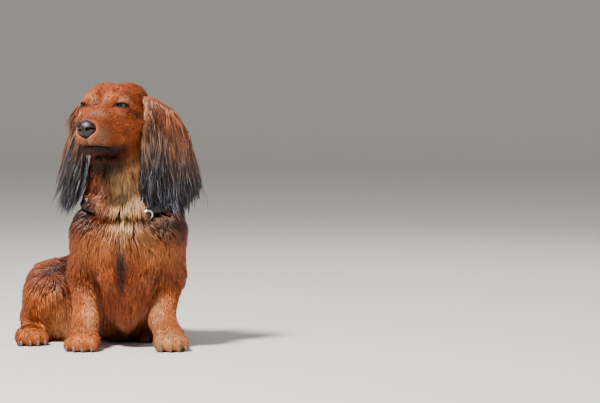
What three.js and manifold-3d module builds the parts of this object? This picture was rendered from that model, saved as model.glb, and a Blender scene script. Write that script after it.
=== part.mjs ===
// A long-haired dachshund that sits with its chest to the front, its head turned to its right
// and its hindquarters swung out to its right, at life size, in millimetres, with +Z up.
// The dog faces -Y and its left is +X. The body is one smooth field of limbs and swells that run
// into each other. It is cut into head, neck, torso, legs, paws and tail with thin cuts, and
// each part then gets its long hair as tapered locks that follow the lie of the coat.
import * as THREE from "three";
import { mergeVertices } from "three/addons/utils/BufferGeometryUtils.js";
import Module from "manifold-3d";

const wasm = await Module();
wasm.setup();

// Driving sizes of the dog.
const SKULL_HEIGHT = 375; // centre of the skull above the floor
const HEAD_TURN = 20; // degrees to the dog's right
const HEAD_TILT = 2; // degrees, nose up
const PELVIS_TURN = 28; // degrees, how far the hindquarters point to the dog's left
const CUT = 0.3; // gap between touching parts
const FLOOR_FLAT = 0; // height of the floor

// Mesh fineness, as the length of a grid cell.
const BODY_CELL = 25;
const LEG_CELL = 16.5;
const HEAD_CELL = 10;
const PAW_CELL = 10;

const vec = (x, y, z) => new THREE.Vector3(x, y, z);
const rad = THREE.MathUtils.degToRad;
const { clamp, lerp } = THREE.MathUtils;

// A small seeded random source, so that every run draws the same coat.
function seeded(seed) {
  let state = seed;
  return () => {
    state = (state + 0x6d2b79f5) | 0;
    let mixed = Math.imul(state ^ (state >>> 15), 1 | state);
    mixed = (mixed + Math.imul(mixed ^ (mixed >>> 7), 61 | mixed)) ^ mixed;
    return ((mixed ^ (mixed >>> 14)) >>> 0) / 4294967296;
  };
}

// Frames. A frame turns its own forward, left and up lengths into a point of the dog.
function frameAt(origin, turnToRight, noseUp) {
  const turn = rad(turnToRight);
  const tilt = rad(noseUp);
  const forward = vec(
    -Math.sin(turn) * Math.cos(tilt),
    -Math.cos(turn) * Math.cos(tilt),
    Math.sin(tilt),
  );
  const left = vec(Math.cos(turn), -Math.sin(turn), 0);
  const up = vec().crossVectors(forward, left);
  return {
    origin,
    forward,
    left,
    up,
    at: (f, l, u) =>
      origin.clone().addScaledVector(forward, f).addScaledVector(left, l).addScaledVector(up, u),
    along: (f, l, u) =>
      vec(0, 0, 0).addScaledVector(forward, f).addScaledVector(left, l).addScaledVector(up, u),
  };
}
const head = frameAt(vec(-15.5, -35, SKULL_HEIGHT), HEAD_TURN, HEAD_TILT);
const pelvis = frameAt(vec(-65, 196, 74), -PELVIS_TURN, 0);

// A swell is a limb from a to b, with half widths and half heights at its two ends, rounded ends
// of length cap, and blend, the length over which it runs into the ones before it.
function swell(a, b, widths, heights, { side = vec(1, 0, 0), cap, blend = 14 } = {}) {
  const axis = vec().subVectors(b, a);
  const length = Math.max(axis.length(), 1e-6);
  axis.divideScalar(length);
  const across = side.clone().addScaledVector(axis, -side.dot(axis)).normalize();
  const other = vec().crossVectors(axis, across);
  const ends = cap ?? [
    (widths[0] + heights[0]) / 2,
    (widths[1] + heights[1]) / 2,
  ];
  const from = vec();
  return {
    blend,
    reach: Math.max(...widths, ...heights, ...ends) + blend,
    a,
    b,
    distance(p) {
      from.subVectors(p, a);
      const along = from.dot(axis);
      const share = clamp(along / length, 0, 1);
      const past = along - share * length;
      const w = lerp(widths[0], widths[1], share);
      const h = lerp(heights[0], heights[1], share);
      const c = past < 0 ? ends[0] : ends[1];
      const x = from.dot(across) / w;
      const y = from.dot(other) / h;
      const z = past / c;
      const k0 = Math.hypot(x, y, z);
      const k1 = Math.hypot(x / w, y / h, z / c);
      return k1 < 1e-9 ? -Math.min(w, h, c) : (k0 * (k0 - 1)) / k1;
    },
  };
}

// A ball is a swell without length, with its half sizes along, across and up.
function ball(centre, [along, across, up], frame, blend) {
  const end = centre.clone().addScaledVector(frame.forward, 0.01);
  const side = frame.left;
  return swell(centre, end, [across, across], [up, up], { side, cap: [along, along], blend });
}

// The two sides of the dog, for what comes in pairs.
const SIDES = { left: 1, right: -1 };

// The head, in the head's frame: forward, left and up from the centre of the skull.
function headSwells() {
  const h = head.at;
  const side = head.left;
  const parts = [
    // Skull, forehead and the back of the head.
    swell(h(-24, 0, -3), h(20, 0, -2), [46, 43], [40, 37], { side, cap: [36, 34] }),
    // Bridge of the muzzle, from the stop to the nose.
    swell(h(34, 0, -11), h(101, 0, -33), [30, 18], [27, 17], { side, blend: 16 }),
    // Jaw and chin.
    swell(h(8, 0, -46), h(94, 0, -61), [30, 14], [20, 11], { side, blend: 12 }),
  ];
  for (const s of Object.values(SIDES)) {
    parts.push(
      // Cheek below the eye.
      swell(h(2, 28 * s, -26), h(44, 21 * s, -33), [20, 16], [28, 22], { side, blend: 14 }),
      // Brow above the eye.
      swell(h(34, 26 * s, 18), h(53, 17 * s, 14), [9, 8], [8.5, 7], { side, blend: 12 }),
      // Top of the skull on either side of the furrow.
      ball(h(-6, 20 * s, 24), [34, 22, 18], head, 14),
      // Upper lip, which hangs over the jaw.
      swell(h(56, 18 * s, -43), h(103, 10.5 * s, -45), [10, 8.5], [18, 14], { side, blend: 8 }),
      // Cushion beside the nose.
      ball(h(103, 9.5 * s, -40), [12.5, 9.5, 13], head, 8),
    );
  }
  return parts;
}

// The neck, from under the skull to between the shoulders.
function neckSwells() {
  return [
    swell(vec(-8, -6, 336), vec(-4, 4, 258), [47, 52], [44, 52], { blend: 22 }),
    swell(vec(-4, 4, 262), vec(2, 6, 200), [54, 66], [54, 62], { blend: 26 }),
  ];
}

// The torso follows the spine from the chest, down and round to the pelvis.
function torsoSwells() {
  return [
    swell(vec(3, -12, 178), vec(1, 20, 160), [76, 84], [70, 82], { blend: 30 }),
    swell(vec(1, 24, 158), vec(-12, 96, 126), [82, 78], [80, 74], { blend: 26 }),
    swell(vec(-12, 96, 126), vec(-40, 156, 98), [78, 68], [74, 66], { blend: 26 }),
    swell(vec(-40, 156, 96), vec(-66, 200, 72), [68, 66], [66, 62], { blend: 26 }),
    // Forechest and keel between the front legs.
    swell(vec(1, -40, 166), vec(0, -14, 104), [44, 36], [42, 42], { blend: 30 }),
    swell(vec(0, -12, 100), vec(-14, 60, 70), [38, 46], [38, 36], { blend: 26 }),
    // Belly down to the floor between the hind legs.
    swell(vec(-14, 60, 74), vec(-58, 180, 46), [48, 62], [44, 45], { blend: 26 }),
    // Croup that rests on the floor.
    ball(vec(-68, 214, 48), [40, 62, 47], pelvis, 24),
  ];
}

// The front legs. Each bends in at the wrist and its paw turns out, as the breed's do.
const FORE = {
  left: {
    shoulder: vec(64, -24, 178),
    elbow: vec(70, 8, 112),
    wrist: vec(57, -50, 46),
    paw: vec(70, -76, 12),
    turn: -18,
  },
  right: {
    shoulder: vec(-58, -24, 178),
    elbow: vec(-72, 8, 112),
    wrist: vec(-63, -50, 46),
    paw: vec(-65, -76, 12),
    turn: 12,
  },
};
function foreSwells(name) {
  const { shoulder, elbow, wrist, paw } = FORE[name];
  const s = SIDES[name];
  return [
    swell(shoulder, vec(elbow.x - 6 * s, elbow.y - 22, elbow.z + 16), [30, 24], [56, 34], {
      blend: 24,
    }),
    swell(vec(elbow.x - 2 * s, elbow.y - 14, elbow.z), wrist, [21, 17.5], [25, 19], { blend: 20 }),
    swell(wrist, vec(paw.x, paw.y + 10, paw.z + 9), [18.5, 23], [19, 16], { blend: 12 }),
  ];
}

// A paw is a pad with four toes, each a knuckle that drops to the floor. Hind paws are smaller.
const TOES = [-1.5, -0.5, 0.5, 1.5];
const FORE_PAW_SIZE = 1;
const HIND_PAW_SIZE = 0.95;
function pawSwells(centre, turn, size, blend = 5) {
  const f = frameAt(centre, turn, 0);
  const side = f.left;
  const parts = [
    swell(f.at(-14 * size, 0, 0), f.at(6 * size, 0, 2), [21 * size, 23 * size], [14, 14], { side, blend: 10 }),
  ];
  for (const toe of TOES) {
    const ahead = (22 - 3.6 * toe * toe) * size;
    parts.push(
      swell(
        f.at(ahead - 16 * size, toe * 11.5 * size, 3),
        f.at(ahead, toe * 13 * size, -2),
        [8.4 * size, 7.6 * size],
        [12, 11],
        { side, blend },
      ),
    );
  }
  return parts;
}

// The hind legs are folded, with the thigh beside the belly and the foot flat on the floor.
const HIND = {
  left: {
    hip: vec(4, 200, 66),
    knee: vec(34, 112, 76),
    hock: vec(36, 158, 22),
    paw: vec(38, 74, 12),
    turn: -22,
  },
  right: {
    hip: vec(-110, 172, 62),
    knee: vec(-113, 78, 70),
    hock: vec(-148, 106, 22),
    paw: vec(-156, 16, 12),
    turn: -18,
  },
};
function hindSwells(name) {
  const { hip, knee, hock, paw } = HIND[name];
  const s = SIDES[name];
  return [
    swell(hip, knee, [49, 36], [58, 43], { side: pelvis.left, blend: 24 }),
    // Shin and the long hair that hangs over it to the floor.
    swell(
      vec(knee.x - 2 * s, knee.y + 8, 42),
      vec(hock.x - 6 * s, hock.y + 6, 38),
      [34, 36],
      [41, 37],
      { side: pelvis.left, blend: 20 },
    ),
    swell(hock, vec(paw.x, paw.y + 24, paw.z + 3), [21, 21], [21, 15], { side: pelvis.left, blend: 12 }),
  ];
}

// The tail lies on the floor and curls round to the dog's left.
const TAIL = [vec(-82, 244, 44), vec(-80, 272, 26), vec(-48, 300, 17), vec(4, 306, 14), vec(52, 286, 11)];
const TAIL_RADII = [22, 17, 13, 10, 6];
function tailSwells() {
  const parts = [];
  for (let i = 0; i + 1 < TAIL.length; i += 1) {
    const r = [TAIL_RADII[i], TAIL_RADII[i + 1]];
    parts.push(swell(TAIL[i], TAIL[i + 1], r, r, { blend: i ? 6 : 16 }));
  }
  return parts;
}

const SWELLS = [
  ...torsoSwells(),
  ...neckSwells(),
  ...headSwells(),
  ...foreSwells("left"),
  ...foreSwells("right"),
  ...hindSwells("left"),
  ...hindSwells("right"),
  ...pawSwells(FORE.left.paw, FORE.left.turn, FORE_PAW_SIZE),
  ...pawSwells(FORE.right.paw, FORE.right.turn, FORE_PAW_SIZE),
  ...pawSwells(HIND.left.paw, HIND.left.turn, HIND_PAW_SIZE),
  ...pawSwells(HIND.right.paw, HIND.right.turn, HIND_PAW_SIZE),
  ...tailSwells(),
];

// The field of the whole body: below zero inside, above zero outside, and cut flat at the floor.
function smoothLess(a, b, k) {
  const h = Math.max(k - Math.abs(a - b), 0) / k;
  return Math.min(a, b) - (h * h * k) / 4;
}
function fieldOf(swells) {
  return (p) => {
    let d = 1e3;
    for (const s of swells) d = smoothLess(d, s.distance(p), s.blend);
    return Math.max(d, FLOOR_FLAT - p.z);
  };
}
const bodyField = fieldOf(SWELLS);

// The same field for one box of space, from the swells that reach into it.
function fieldNear(low, high) {
  const box = new THREE.Box3(low, high);
  const near = SWELLS.filter(({ a, b, reach }) => {
    const own = new THREE.Box3().setFromPoints([a, b]).expandByScalar(reach + 12);
    return own.intersectsBox(box);
  });
  return fieldOf(near);
}

// The uphill direction of a field.
function slope(field, p, e = 0.8) {
  const q = p.clone();
  const g = vec();
  for (const axis of ["x", "y", "z"]) {
    q[axis] = p[axis] + e;
    const more = field(q);
    q[axis] = p[axis] - e;
    g[axis] = (more - field(q)) / (2 * e);
    q[axis] = p[axis];
  }
  return g;
}

// Turns a geometry into a solid, and a solid back into a geometry.
function solidOf(geometry) {
  let merged = geometry;
  if (geometry.attributes.normal) {
    const bare = geometry.clone();
    bare.deleteAttribute("normal");
    bare.deleteAttribute("uv");
    merged = mergeVertices(bare, 1e-4);
  }
  return new wasm.Manifold(
    new wasm.Mesh({
      numProp: 3,
      vertProperties: merged.attributes.position.array,
      triVerts: new Uint32Array(merged.index.array),
    }),
  );
}
function geometryOf(solid) {
  const mesh = solid.getMesh();
  const g = new THREE.BufferGeometry();
  g.setAttribute("position", new THREE.BufferAttribute(new Float32Array(mesh.vertProperties), 3));
  g.setIndex(new THREE.BufferAttribute(new Uint32Array(mesh.triVerts), 1));
  return g;
}

// Says whether the chosen corners of a cell hang together along its edges.
function hangTogether(chosen) {
  const found = [chosen[0]];
  for (const c of found)
    for (const step of [1, 2, 4])
      if (chosen.includes(c ^ step) && !found.includes(c ^ step)) found.push(c ^ step);
  return found.length === chosen.length;
}
const ALL_CORNERS = [0, 1, 2, 3, 4, 5, 6, 7];
const IS_SPLIT = Array.from({ length: 256 }, (_, mask) => {
  const inside = ALL_CORNERS.filter((c) => (mask >> c) & 1);
  const outside = ALL_CORNERS.filter((c) => !((mask >> c) & 1));
  return inside.length > 0 && outside.length > 0 && !(hangTogether(inside) && hangTogether(outside));
});

// A cell that two sheets of the surface cross would pinch them together at its one point, so
// such a cell is filled until none is left.
function fillSplitCells(value, n, at, corners) {
  for (let changed = true; changed; ) {
    changed = false;
    for (let k = 0; k + 1 < n[2]; k += 1)
      for (let j = 0; j + 1 < n[1]; j += 1)
        for (let i = 0; i + 1 < n[0]; i += 1) {
          let mask = 0;
          for (let c = 0; c < 8; c += 1)
            if (value[at(i + corners[c][0], j + corners[c][1], k + corners[c][2])] < 0) mask |= 1 << c;
          if (!IS_SPLIT[mask]) continue;
          changed = true;
          for (const [x, y, z] of corners) {
            const place = at(i + x, j + y, k + z);
            value[place] = Math.min(value[place], -0.05);
          }
        }
  }
}

// Draws the surface where a field is zero: each grid cell that the surface crosses gets one
// point, moved onto the surface, and each crossed grid edge gets a face of its four cells.
function surfaceOf(openField, boxLow, boxHigh, cell) {
  const middle = boxLow.clone().lerp(boxHigh, 0.5);
  const half = boxHigh.clone().sub(middle);
  const field = (q) => {
    const wall = Math.max(
      Math.abs(q.x - middle.x) - half.x,
      Math.abs(q.y - middle.y) - half.y,
      Math.abs(q.z - middle.z) - half.z,
    );
    return Math.max(openField(q), wall);
  };
  const low = boxLow.clone().subScalar(cell * 3);
  const high = boxHigh.clone().addScalar(cell * 3);
  const n = ["x", "y", "z"].map((k) => Math.ceil((high[k] - low[k]) / cell) + 1);
  const at = (i, j, k) => (k * n[1] + j) * n[0] + i;
  const value = new Float64Array(n[0] * n[1] * n[2]);
  const p = vec();
  for (let k = 0; k < n[2]; k += 1)
    for (let j = 0; j < n[1]; j += 1)
      for (let i = 0; i < n[0]; i += 1) {
        p.set(low.x + i * cell, low.y + j * cell, low.z + k * cell);
        value[at(i, j, k)] = field(p);
      }
  const points = [];
  const pointOf = new Int32Array(value.length).fill(-1);
  const corners = [0, 1, 2, 3, 4, 5, 6, 7].map((c) => [c & 1, (c >> 1) & 1, c >> 2]);
  fillSplitCells(value, n, at, corners);
  const edges = [];
  for (let a = 0; a < 8; a += 1)
    for (let b = a + 1; b < 8; b += 1) if ([1, 2, 4].includes(a ^ b)) edges.push([corners[a], corners[b]]);
  for (let k = 0; k + 1 < n[2]; k += 1)
    for (let j = 0; j + 1 < n[1]; j += 1)
      for (let i = 0; i + 1 < n[0]; i += 1) {
        const mean = vec(0, 0, 0);
        let count = 0;
        for (const [u, v] of edges) {
          const a = value[at(i + u[0], j + u[1], k + u[2])];
          const b = value[at(i + v[0], j + v[1], k + v[2])];
          if (a < 0 === b < 0) continue;
          const t = a / (a - b);
          mean.add(vec(u[0] + (v[0] - u[0]) * t, u[1] + (v[1] - u[1]) * t, u[2] + (v[2] - u[2]) * t));
          count += 1;
        }
        if (!count) continue;
        mean.divideScalar(count).add(vec(i, j, k)).multiplyScalar(cell).add(low);
        const start = mean.clone();
        for (let step = 0; step < 4; step += 1) {
          const g = slope(field, mean);
          mean.addScaledVector(g, -field(mean) / Math.max(g.lengthSq(), 0.05));
        }
        const moved = vec().subVectors(mean, start).clampLength(0, cell * 0.45);
        mean.addVectors(start, moved);
        pointOf[at(i, j, k)] = points.length / 3;
        points.push(mean.x, mean.y, mean.z);
      }
  const faces = [];
  const square = (a, b) => {
    let sum = 0;
    for (let c = 0; c < 3; c += 1) sum += (points[3 * a + c] - points[3 * b + c]) ** 2;
    return sum;
  };
  const quad = (a, b, c, d, flip) => {
    const ring = flip ? [a, d, c, b] : [a, b, c, d];
    if (square(ring[0], ring[2]) <= square(ring[1], ring[3]))
      faces.push(ring[0], ring[1], ring[2], ring[0], ring[2], ring[3]);
    else faces.push(ring[1], ring[2], ring[3], ring[1], ring[3], ring[0]);
  };
  for (let k = 1; k + 1 < n[2]; k += 1)
    for (let j = 1; j + 1 < n[1]; j += 1)
      for (let i = 1; i + 1 < n[0]; i += 1) {
        const here = value[at(i, j, k)] < 0;
        const cellAt = (x, y, z) => pointOf[at(x, y, z)];
        if (here !== value[at(i + 1, j, k)] < 0)
          quad(cellAt(i, j - 1, k - 1), cellAt(i, j, k - 1), cellAt(i, j, k), cellAt(i, j - 1, k), !here);
        if (here !== value[at(i, j + 1, k)] < 0)
          quad(cellAt(i - 1, j, k - 1), cellAt(i - 1, j, k), cellAt(i, j, k), cellAt(i, j, k - 1), !here);
        if (here !== value[at(i, j, k + 1)] < 0)
          quad(cellAt(i - 1, j - 1, k), cellAt(i, j - 1, k), cellAt(i, j, k), cellAt(i - 1, j, k), !here);
      }
  const g = new THREE.BufferGeometry();
  g.setAttribute("position", new THREE.BufferAttribute(new Float32Array(points), 3));
  g.setIndex(faces);
  return g;
}

// A loft runs through stations. Each station has a centre, two directions and two half sizes,
// and its ring has the given number of corners. Both ends close to a point.
function loft(stations, corners) {
  const points = [];
  const faces = [];
  const last = stations.length - 1;
  for (const { centre, across, out, wide, thick } of stations)
    for (let c = 0; c < corners; c += 1) {
      const angle = (c / corners + 0.25) * 2 * Math.PI;
      const p = centre
        .clone()
        .addScaledVector(across, Math.cos(angle) * wide)
        .addScaledVector(out, Math.sin(angle) * thick);
      points.push(p.x, p.y, p.z);
    }
  const ends = [stations[0].centre, stations[last].tip ?? stations[last].centre];
  const root = points.length / 3;
  for (const end of ends) points.push(end.x, end.y, end.z);
  for (let c = 0; c < corners; c += 1) {
    const next = (c + 1) % corners;
    faces.push(root, next, c, root + 1, last * corners + c, last * corners + next);
    for (let s = 0; s < last; s += 1) {
      const a = s * corners;
      const b = a + corners;
      faces.push(a + c, a + next, b + next, a + c, b + next, b + c);
    }
  }
  const g = new THREE.BufferGeometry();
  g.setAttribute("position", new THREE.BufferAttribute(new Float32Array(points), 3));
  g.setIndex(faces);
  return g;
}

// A surface may come out inside out, depending on its directions. This turns it the right way
// and makes it a solid.
function rightWayOut(g) {
  const p = g.attributes.position;
  const index = g.index.array;
  const corner = [0, 1, 2].map(() => vec());
  let volume = 0;
  for (let t = 0; t < index.length; t += 3) {
    for (let c = 0; c < 3; c += 1) corner[c].fromBufferAttribute(p, index[t + c]);
    volume += corner[0].dot(corner[1].cross(corner[2]));
  }
  if (volume < 0) g.setIndex([...index].reverse());
  return solidOf(g);
}
const solidLoft = (stations, corners) => rightWayOut(loft(stations, corners));

// Stations along a path of points with radii, square to the path.
function tubeStations(path, radii, side, grow = 0) {
  return path.map((centre, i) => {
    const before = path[Math.max(i - 1, 0)];
    const after = path[Math.min(i + 1, path.length - 1)];
    const along = vec().subVectors(after, before).normalize();
    const across = side.clone().addScaledVector(along, -side.dot(along)).normalize();
    const out = vec().crossVectors(along, across);
    const [w, h] = Array.isArray(radii[i]) ? radii[i] : [radii[i], radii[i]];
    const shift = i === 0 ? -grow : i === path.length - 1 ? grow : 0;
    return {
      centre: centre.clone().addScaledVector(along, shift),
      across,
      out,
      wide: w + grow,
      thick: h + grow,
    };
  });
}

// A half space, as a slab that starts at a point and fills the side its direction points to.
function halfSpace(point, direction, grow = 0) {
  const size = 900;
  const g = new THREE.BoxGeometry(size, size, size);
  const turn = new THREE.Quaternion().setFromUnitVectors(vec(0, 0, 1), direction.clone().normalize());
  g.translate(0, 0, size / 2 - grow);
  g.applyQuaternion(turn);
  g.translate(point.x, point.y, point.z);
  return solidOf(g);
}
function ellipsoid(centre, [along, across, up], frame, grow = 0) {
  const g = new THREE.SphereGeometry(1, 16, 10);
  const basis = new THREE.Matrix4().makeBasis(frame.forward, frame.left, frame.up);
  g.scale(along + grow, across + grow, up + grow);
  g.applyMatrix4(basis);
  g.translate(centre.x, centre.y, centre.z);
  return solidOf(g);
}

// The blocks that part the body. Each is a function of how much it is grown.
const THROAT = { point: head.at(-30, 0, -46), direction: vec(-0.05, -0.5, 0.86) };
const COLLAR = { point: vec(-1, 4, 230), direction: vec(0, -0.22, 0.97).normalize() };
const HEAD_ABOVE = (grow) => halfSpace(THROAT.point, THROAT.direction, grow);
const NECK_ABOVE = (grow) => halfSpace(COLLAR.point, COLLAR.direction, grow);
const foreBlock = (name) => (grow) => {
  const { elbow, wrist } = FORE[name];
  const s = SIDES[name];
  const path = [
    vec(elbow.x + 16 * s, elbow.y - 8, elbow.z + 42),
    vec(elbow.x + 13 * s, elbow.y - 12, elbow.z + 26),
    vec(elbow.x + 6 * s, elbow.y - 18, elbow.z + 4),
    vec(elbow.x - 3 * s, elbow.y - 26, elbow.z - 22),
    wrist,
    vec(wrist.x, wrist.y - 4, wrist.z - 14),
  ];
  const sizes = [[16, 20], [33, 42], [35, 44], [31, 35], 28, 28];
  return solidLoft(tubeStations(path, sizes, vec(1, 0, 0), grow), 14);
};
const pawBlock = (spot) => (grow) => {
  const f = frameAt(spot.paw, spot.turn, 0);
  return ellipsoid(f.at(-2, 0, -2), [46, 42, 31], f, grow);
};
const hindBlock = (name) => (grow) => {
  const { hip, knee } = HIND[name];
  const s = SIDES[name];
  const path = [
    vec(hip.x + 26 * s, hip.y + 40, hip.z - 6),
    vec(hip.x + 20 * s, hip.y + 16, hip.z - 4),
    vec((hip.x + knee.x) / 2 + 16 * s, (hip.y + knee.y) / 2, knee.z - 8),
    vec(knee.x + 8 * s, knee.y - 16, knee.z - 12),
    vec(knee.x + 6 * s, knee.y - 42, knee.z - 16),
  ];
  const sizes = [[24, 40], [46, 82], [52, 92], [50, 84], [30, 50]];
  return solidLoft(tubeStations(path, sizes, pelvis.left, grow), 14);
};
const tailBlock = (grow) => halfSpace(vec(-80, 258, 30), vec(0.08, 1, -0.1), grow);

// The parts of the body, each with its block, its box of space and its fineness. An earlier
// part takes its room first.
const BOXES = {
  head: [vec(-130, -200, 270), vec(70, 60, 440)],
  neck: [vec(-95, -110, 150), vec(100, 120, 360)],
  fore: [vec(-150, -140, 20), vec(150, 80, 280)],
  hind: [vec(-240, -20, -20), vec(120, 290, 190)],
  tail: [vec(-140, 215, -20), vec(110, 350, 90)],
  torso: [vec(-230, -150, -45), vec(160, 325, 300)],
};
const pawBox = (spot) => [
  vec(spot.paw.x - 62, spot.paw.y - 62, -18),
  vec(spot.paw.x + 62, spot.paw.y + 62, 70),
];
const halfBox = (box, name) => {
  const [low, high] = [box[0].clone(), box[1].clone()];
  if (name === "left") low.x = -70;
  else high.x = 30;
  return [low, high];
};
const PARTS = [
  { name: "head", block: HEAD_ABOVE, box: BOXES.head, cell: HEAD_CELL },
  { name: "neck", block: NECK_ABOVE, box: BOXES.neck, cell: BODY_CELL - 3 },
  ...["left", "right"].flatMap((name) => [
    { name: `forepaw_${name}`, block: pawBlock(FORE[name]), box: pawBox(FORE[name]), cell: PAW_CELL },
    { name: `hindpaw_${name}`, block: pawBlock(HIND[name]), box: pawBox(HIND[name]), cell: PAW_CELL },
    { name: `foreleg_${name}`, block: foreBlock(name), box: halfBox(BOXES.fore, name), cell: LEG_CELL },
    { name: `hindleg_${name}`, block: hindBlock(name), box: halfBox(BOXES.hind, name), cell: BODY_CELL - 2 },
  ]),
  { name: "tail", block: tailBlock, box: BOXES.tail, cell: LEG_CELL },
  { name: "torso", block: null, box: BOXES.torso, cell: BODY_CELL },
];

// Merges corners that a cut has left closer than a hair's breadth, and drops the slivers between
// them. Where that would open the surface, the solid stays as it was.
const HAIR_BREADTH = 0.04;
function withoutSlivers(solid) {
  const merged = mergeVertices(geometryOf(solid), HAIR_BREADTH);
  const index = merged.index.array;
  const kept = [];
  for (let t = 0; t < index.length; t += 3) {
    const [a, b, c] = index.slice(t, t + 3);
    if (a !== b && b !== c && c !== a) kept.push(a, b, c);
  }
  merged.setIndex(kept);
  try {
    return solidOf(merged);
  } catch {
    return solid;
  }
}

const GROWN = 1.1; // how far one part's hair stays off another part's skin
function largest(solid) {
  return solid.decompose().reduce((a, b) => (a.volume() >= b.volume() ? a : b));
}
function cutBody() {
  const core = new Map();
  const shell = new Map();
  let taken = null;
  for (const { name, block, box, cell } of PARTS) {
    const field = fieldNear(...box);
    let skin = solidOf(surfaceOf(field, ...box, cell));
    let skinGrown = solidOf(surfaceOf((p) => field(p) - GROWN, ...box, cell));
    if (block) {
      skin = skin.intersect(block(0));
      skinGrown = skinGrown.intersect(block(CUT));
    }
    if (taken) {
      skin = skin.subtract(taken);
      skinGrown = skinGrown.subtract(taken);
    }
    core.set(name, largest(skin));
    shell.set(name, skinGrown.add(skin));
    if (block) taken = taken ? taken.add(block(CUT)) : block(CUT);
  }
  return { core, shell };
}
const { core, shell } = cutBody();

// Where a ray from inside the body leaves its skin.
function skinPoint(from, direction) {
  const step = direction.clone().normalize();
  let near = 0;
  let far = 4;
  while (far < 220 && bodyField(from.clone().addScaledVector(step, far)) < 0) {
    near = far;
    far += 4;
  }
  for (let turn = 0; turn < 14; turn += 1) {
    const middle = (near + far) / 2;
    if (bodyField(from.clone().addScaledVector(step, middle)) < 0) near = middle;
    else far = middle;
  }
  return from.clone().addScaledVector(step, near);
}

// Eyes. The lids are a swell of the head over the eyeball, with a narrow opening cut in them.
const EYE = { forward: 44, aside: 27, up: 5, ball: 11, lid: 2.4, gap: 0.5, wide: 9.4, high: 3.2, deep: 16 };
function eyeFrame(s) {
  const centre = head.at(EYE.forward, EYE.aside * s, EYE.up);
  const out = head.along(0.78, 0.6 * s, 0.17).normalize();
  const across = head.along(-0.6, 0.78 * s, -0.05);
  across.addScaledVector(out, -across.dot(out)).normalize();
  return { centre, forward: out, left: across, up: vec().crossVectors(out, across) };
}
function sphereAt(centre, radius, detail = 12) {
  const g = new THREE.SphereGeometry(radius, detail, Math.round(detail * 0.6));
  g.translate(centre.x, centre.y, centre.z);
  return solidOf(g);
}
function addEyes(headSolid) {
  let face = headSolid;
  const eyes = {};
  for (const [name, s] of Object.entries(SIDES)) {
    const f = eyeFrame(s);
    const lids = sphereAt(f.centre, EYE.ball + EYE.lid);
    const socket = sphereAt(f.centre, EYE.ball + EYE.gap);
    const opening = solidLoft(
      [1, EYE.deep].map((ahead) => ({
        centre: f.centre.clone().addScaledVector(f.forward, ahead).addScaledVector(f.up, -0.6),
        across: f.left,
        out: f.up,
        wide: EYE.wide,
        thick: EYE.high,
      })),
      12,
    );
    face = face.add(lids).subtract(socket).subtract(opening);
    eyes[name] = sphereAt(f.centre, EYE.ball);
  }
  return { face, eyes };
}

// The nose pad, with two comma-shaped nostrils.
const NOSE = { ahead: 112, up: -31, sizes: [11, 15.5, 13.5] };
function noseSolid(grow) {
  return ellipsoid(head.at(NOSE.ahead, 0, NOSE.up), NOSE.sizes, head, grow);
}
function noseWithNostrils() {
  let nose = noseSolid(0);
  for (const s of Object.values(SIDES)) {
    const path = [
      head.at(NOSE.ahead + 1, 5.5 * s, NOSE.up - 1),
      head.at(NOSE.ahead + 9, 6.2 * s, NOSE.up - 1.5),
      head.at(NOSE.ahead + 12, 10.5 * s, NOSE.up - 0.5),
      head.at(NOSE.ahead + 4, 17 * s, NOSE.up + 1),
    ];
    nose = nose.subtract(solidLoft(tubeStations(path, [1.5, 3, 2.4, 1.2], head.up), 5));
  }
  return nose;
}

// The line of the mouth, a thin groove from corner to corner under the nose.
function mouthCut() {
  const stations = [];
  const count = 11;
  for (let i = 0; i < count; i += 1) {
    const share = (i / (count - 1)) * 2 - 1;
    const back = Math.abs(share) ** 1.6;
    const from = head.at(92 - 42 * back, 0, -57 - 4 * back);
    const out = head.along(Math.cos(share * 1.5), Math.sin(share * 1.5), -0.02);
    const centre = skinPoint(from, out);
    const ends = 0.35 + 0.65 * (1 - Math.abs(share) ** 4);
    stations.push({ centre, across: out.normalize(), out: head.up, wide: 4.2 * ends, thick: 1.1 });
  }
  return solidLoft(stations, 4);
}

// The leather of an ear, a cupped flap that hangs from its fold beside the skull. Rows run down
// the ear and columns run across it from its front edge to its back edge.
const EAR = {
  rows: 9,
  columns: 5,
  length: 140,
  widths: [14, 27, 35, 41, 44, 46, 45, 38, 20],
  backward: [12, 26, 33, 36, 36, 36, 37, 38, 39],
  outward: [3, 11, 16, 19, 19, 18, 17, 16, 15],
  thick: 6,
};
const EAR_TURN = 52; // degrees from straight sideways, toward the back
function earFrame(s) {
  const root = head.at(-6, 42 * s, 21);
  const turn = rad(EAR_TURN);
  const across = head.along(-Math.sin(turn), Math.cos(turn) * s, 0).normalize();
  const out = head.along(Math.cos(turn), Math.sin(turn) * s, 0).normalize();
  return { root, across, out };
}
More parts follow.
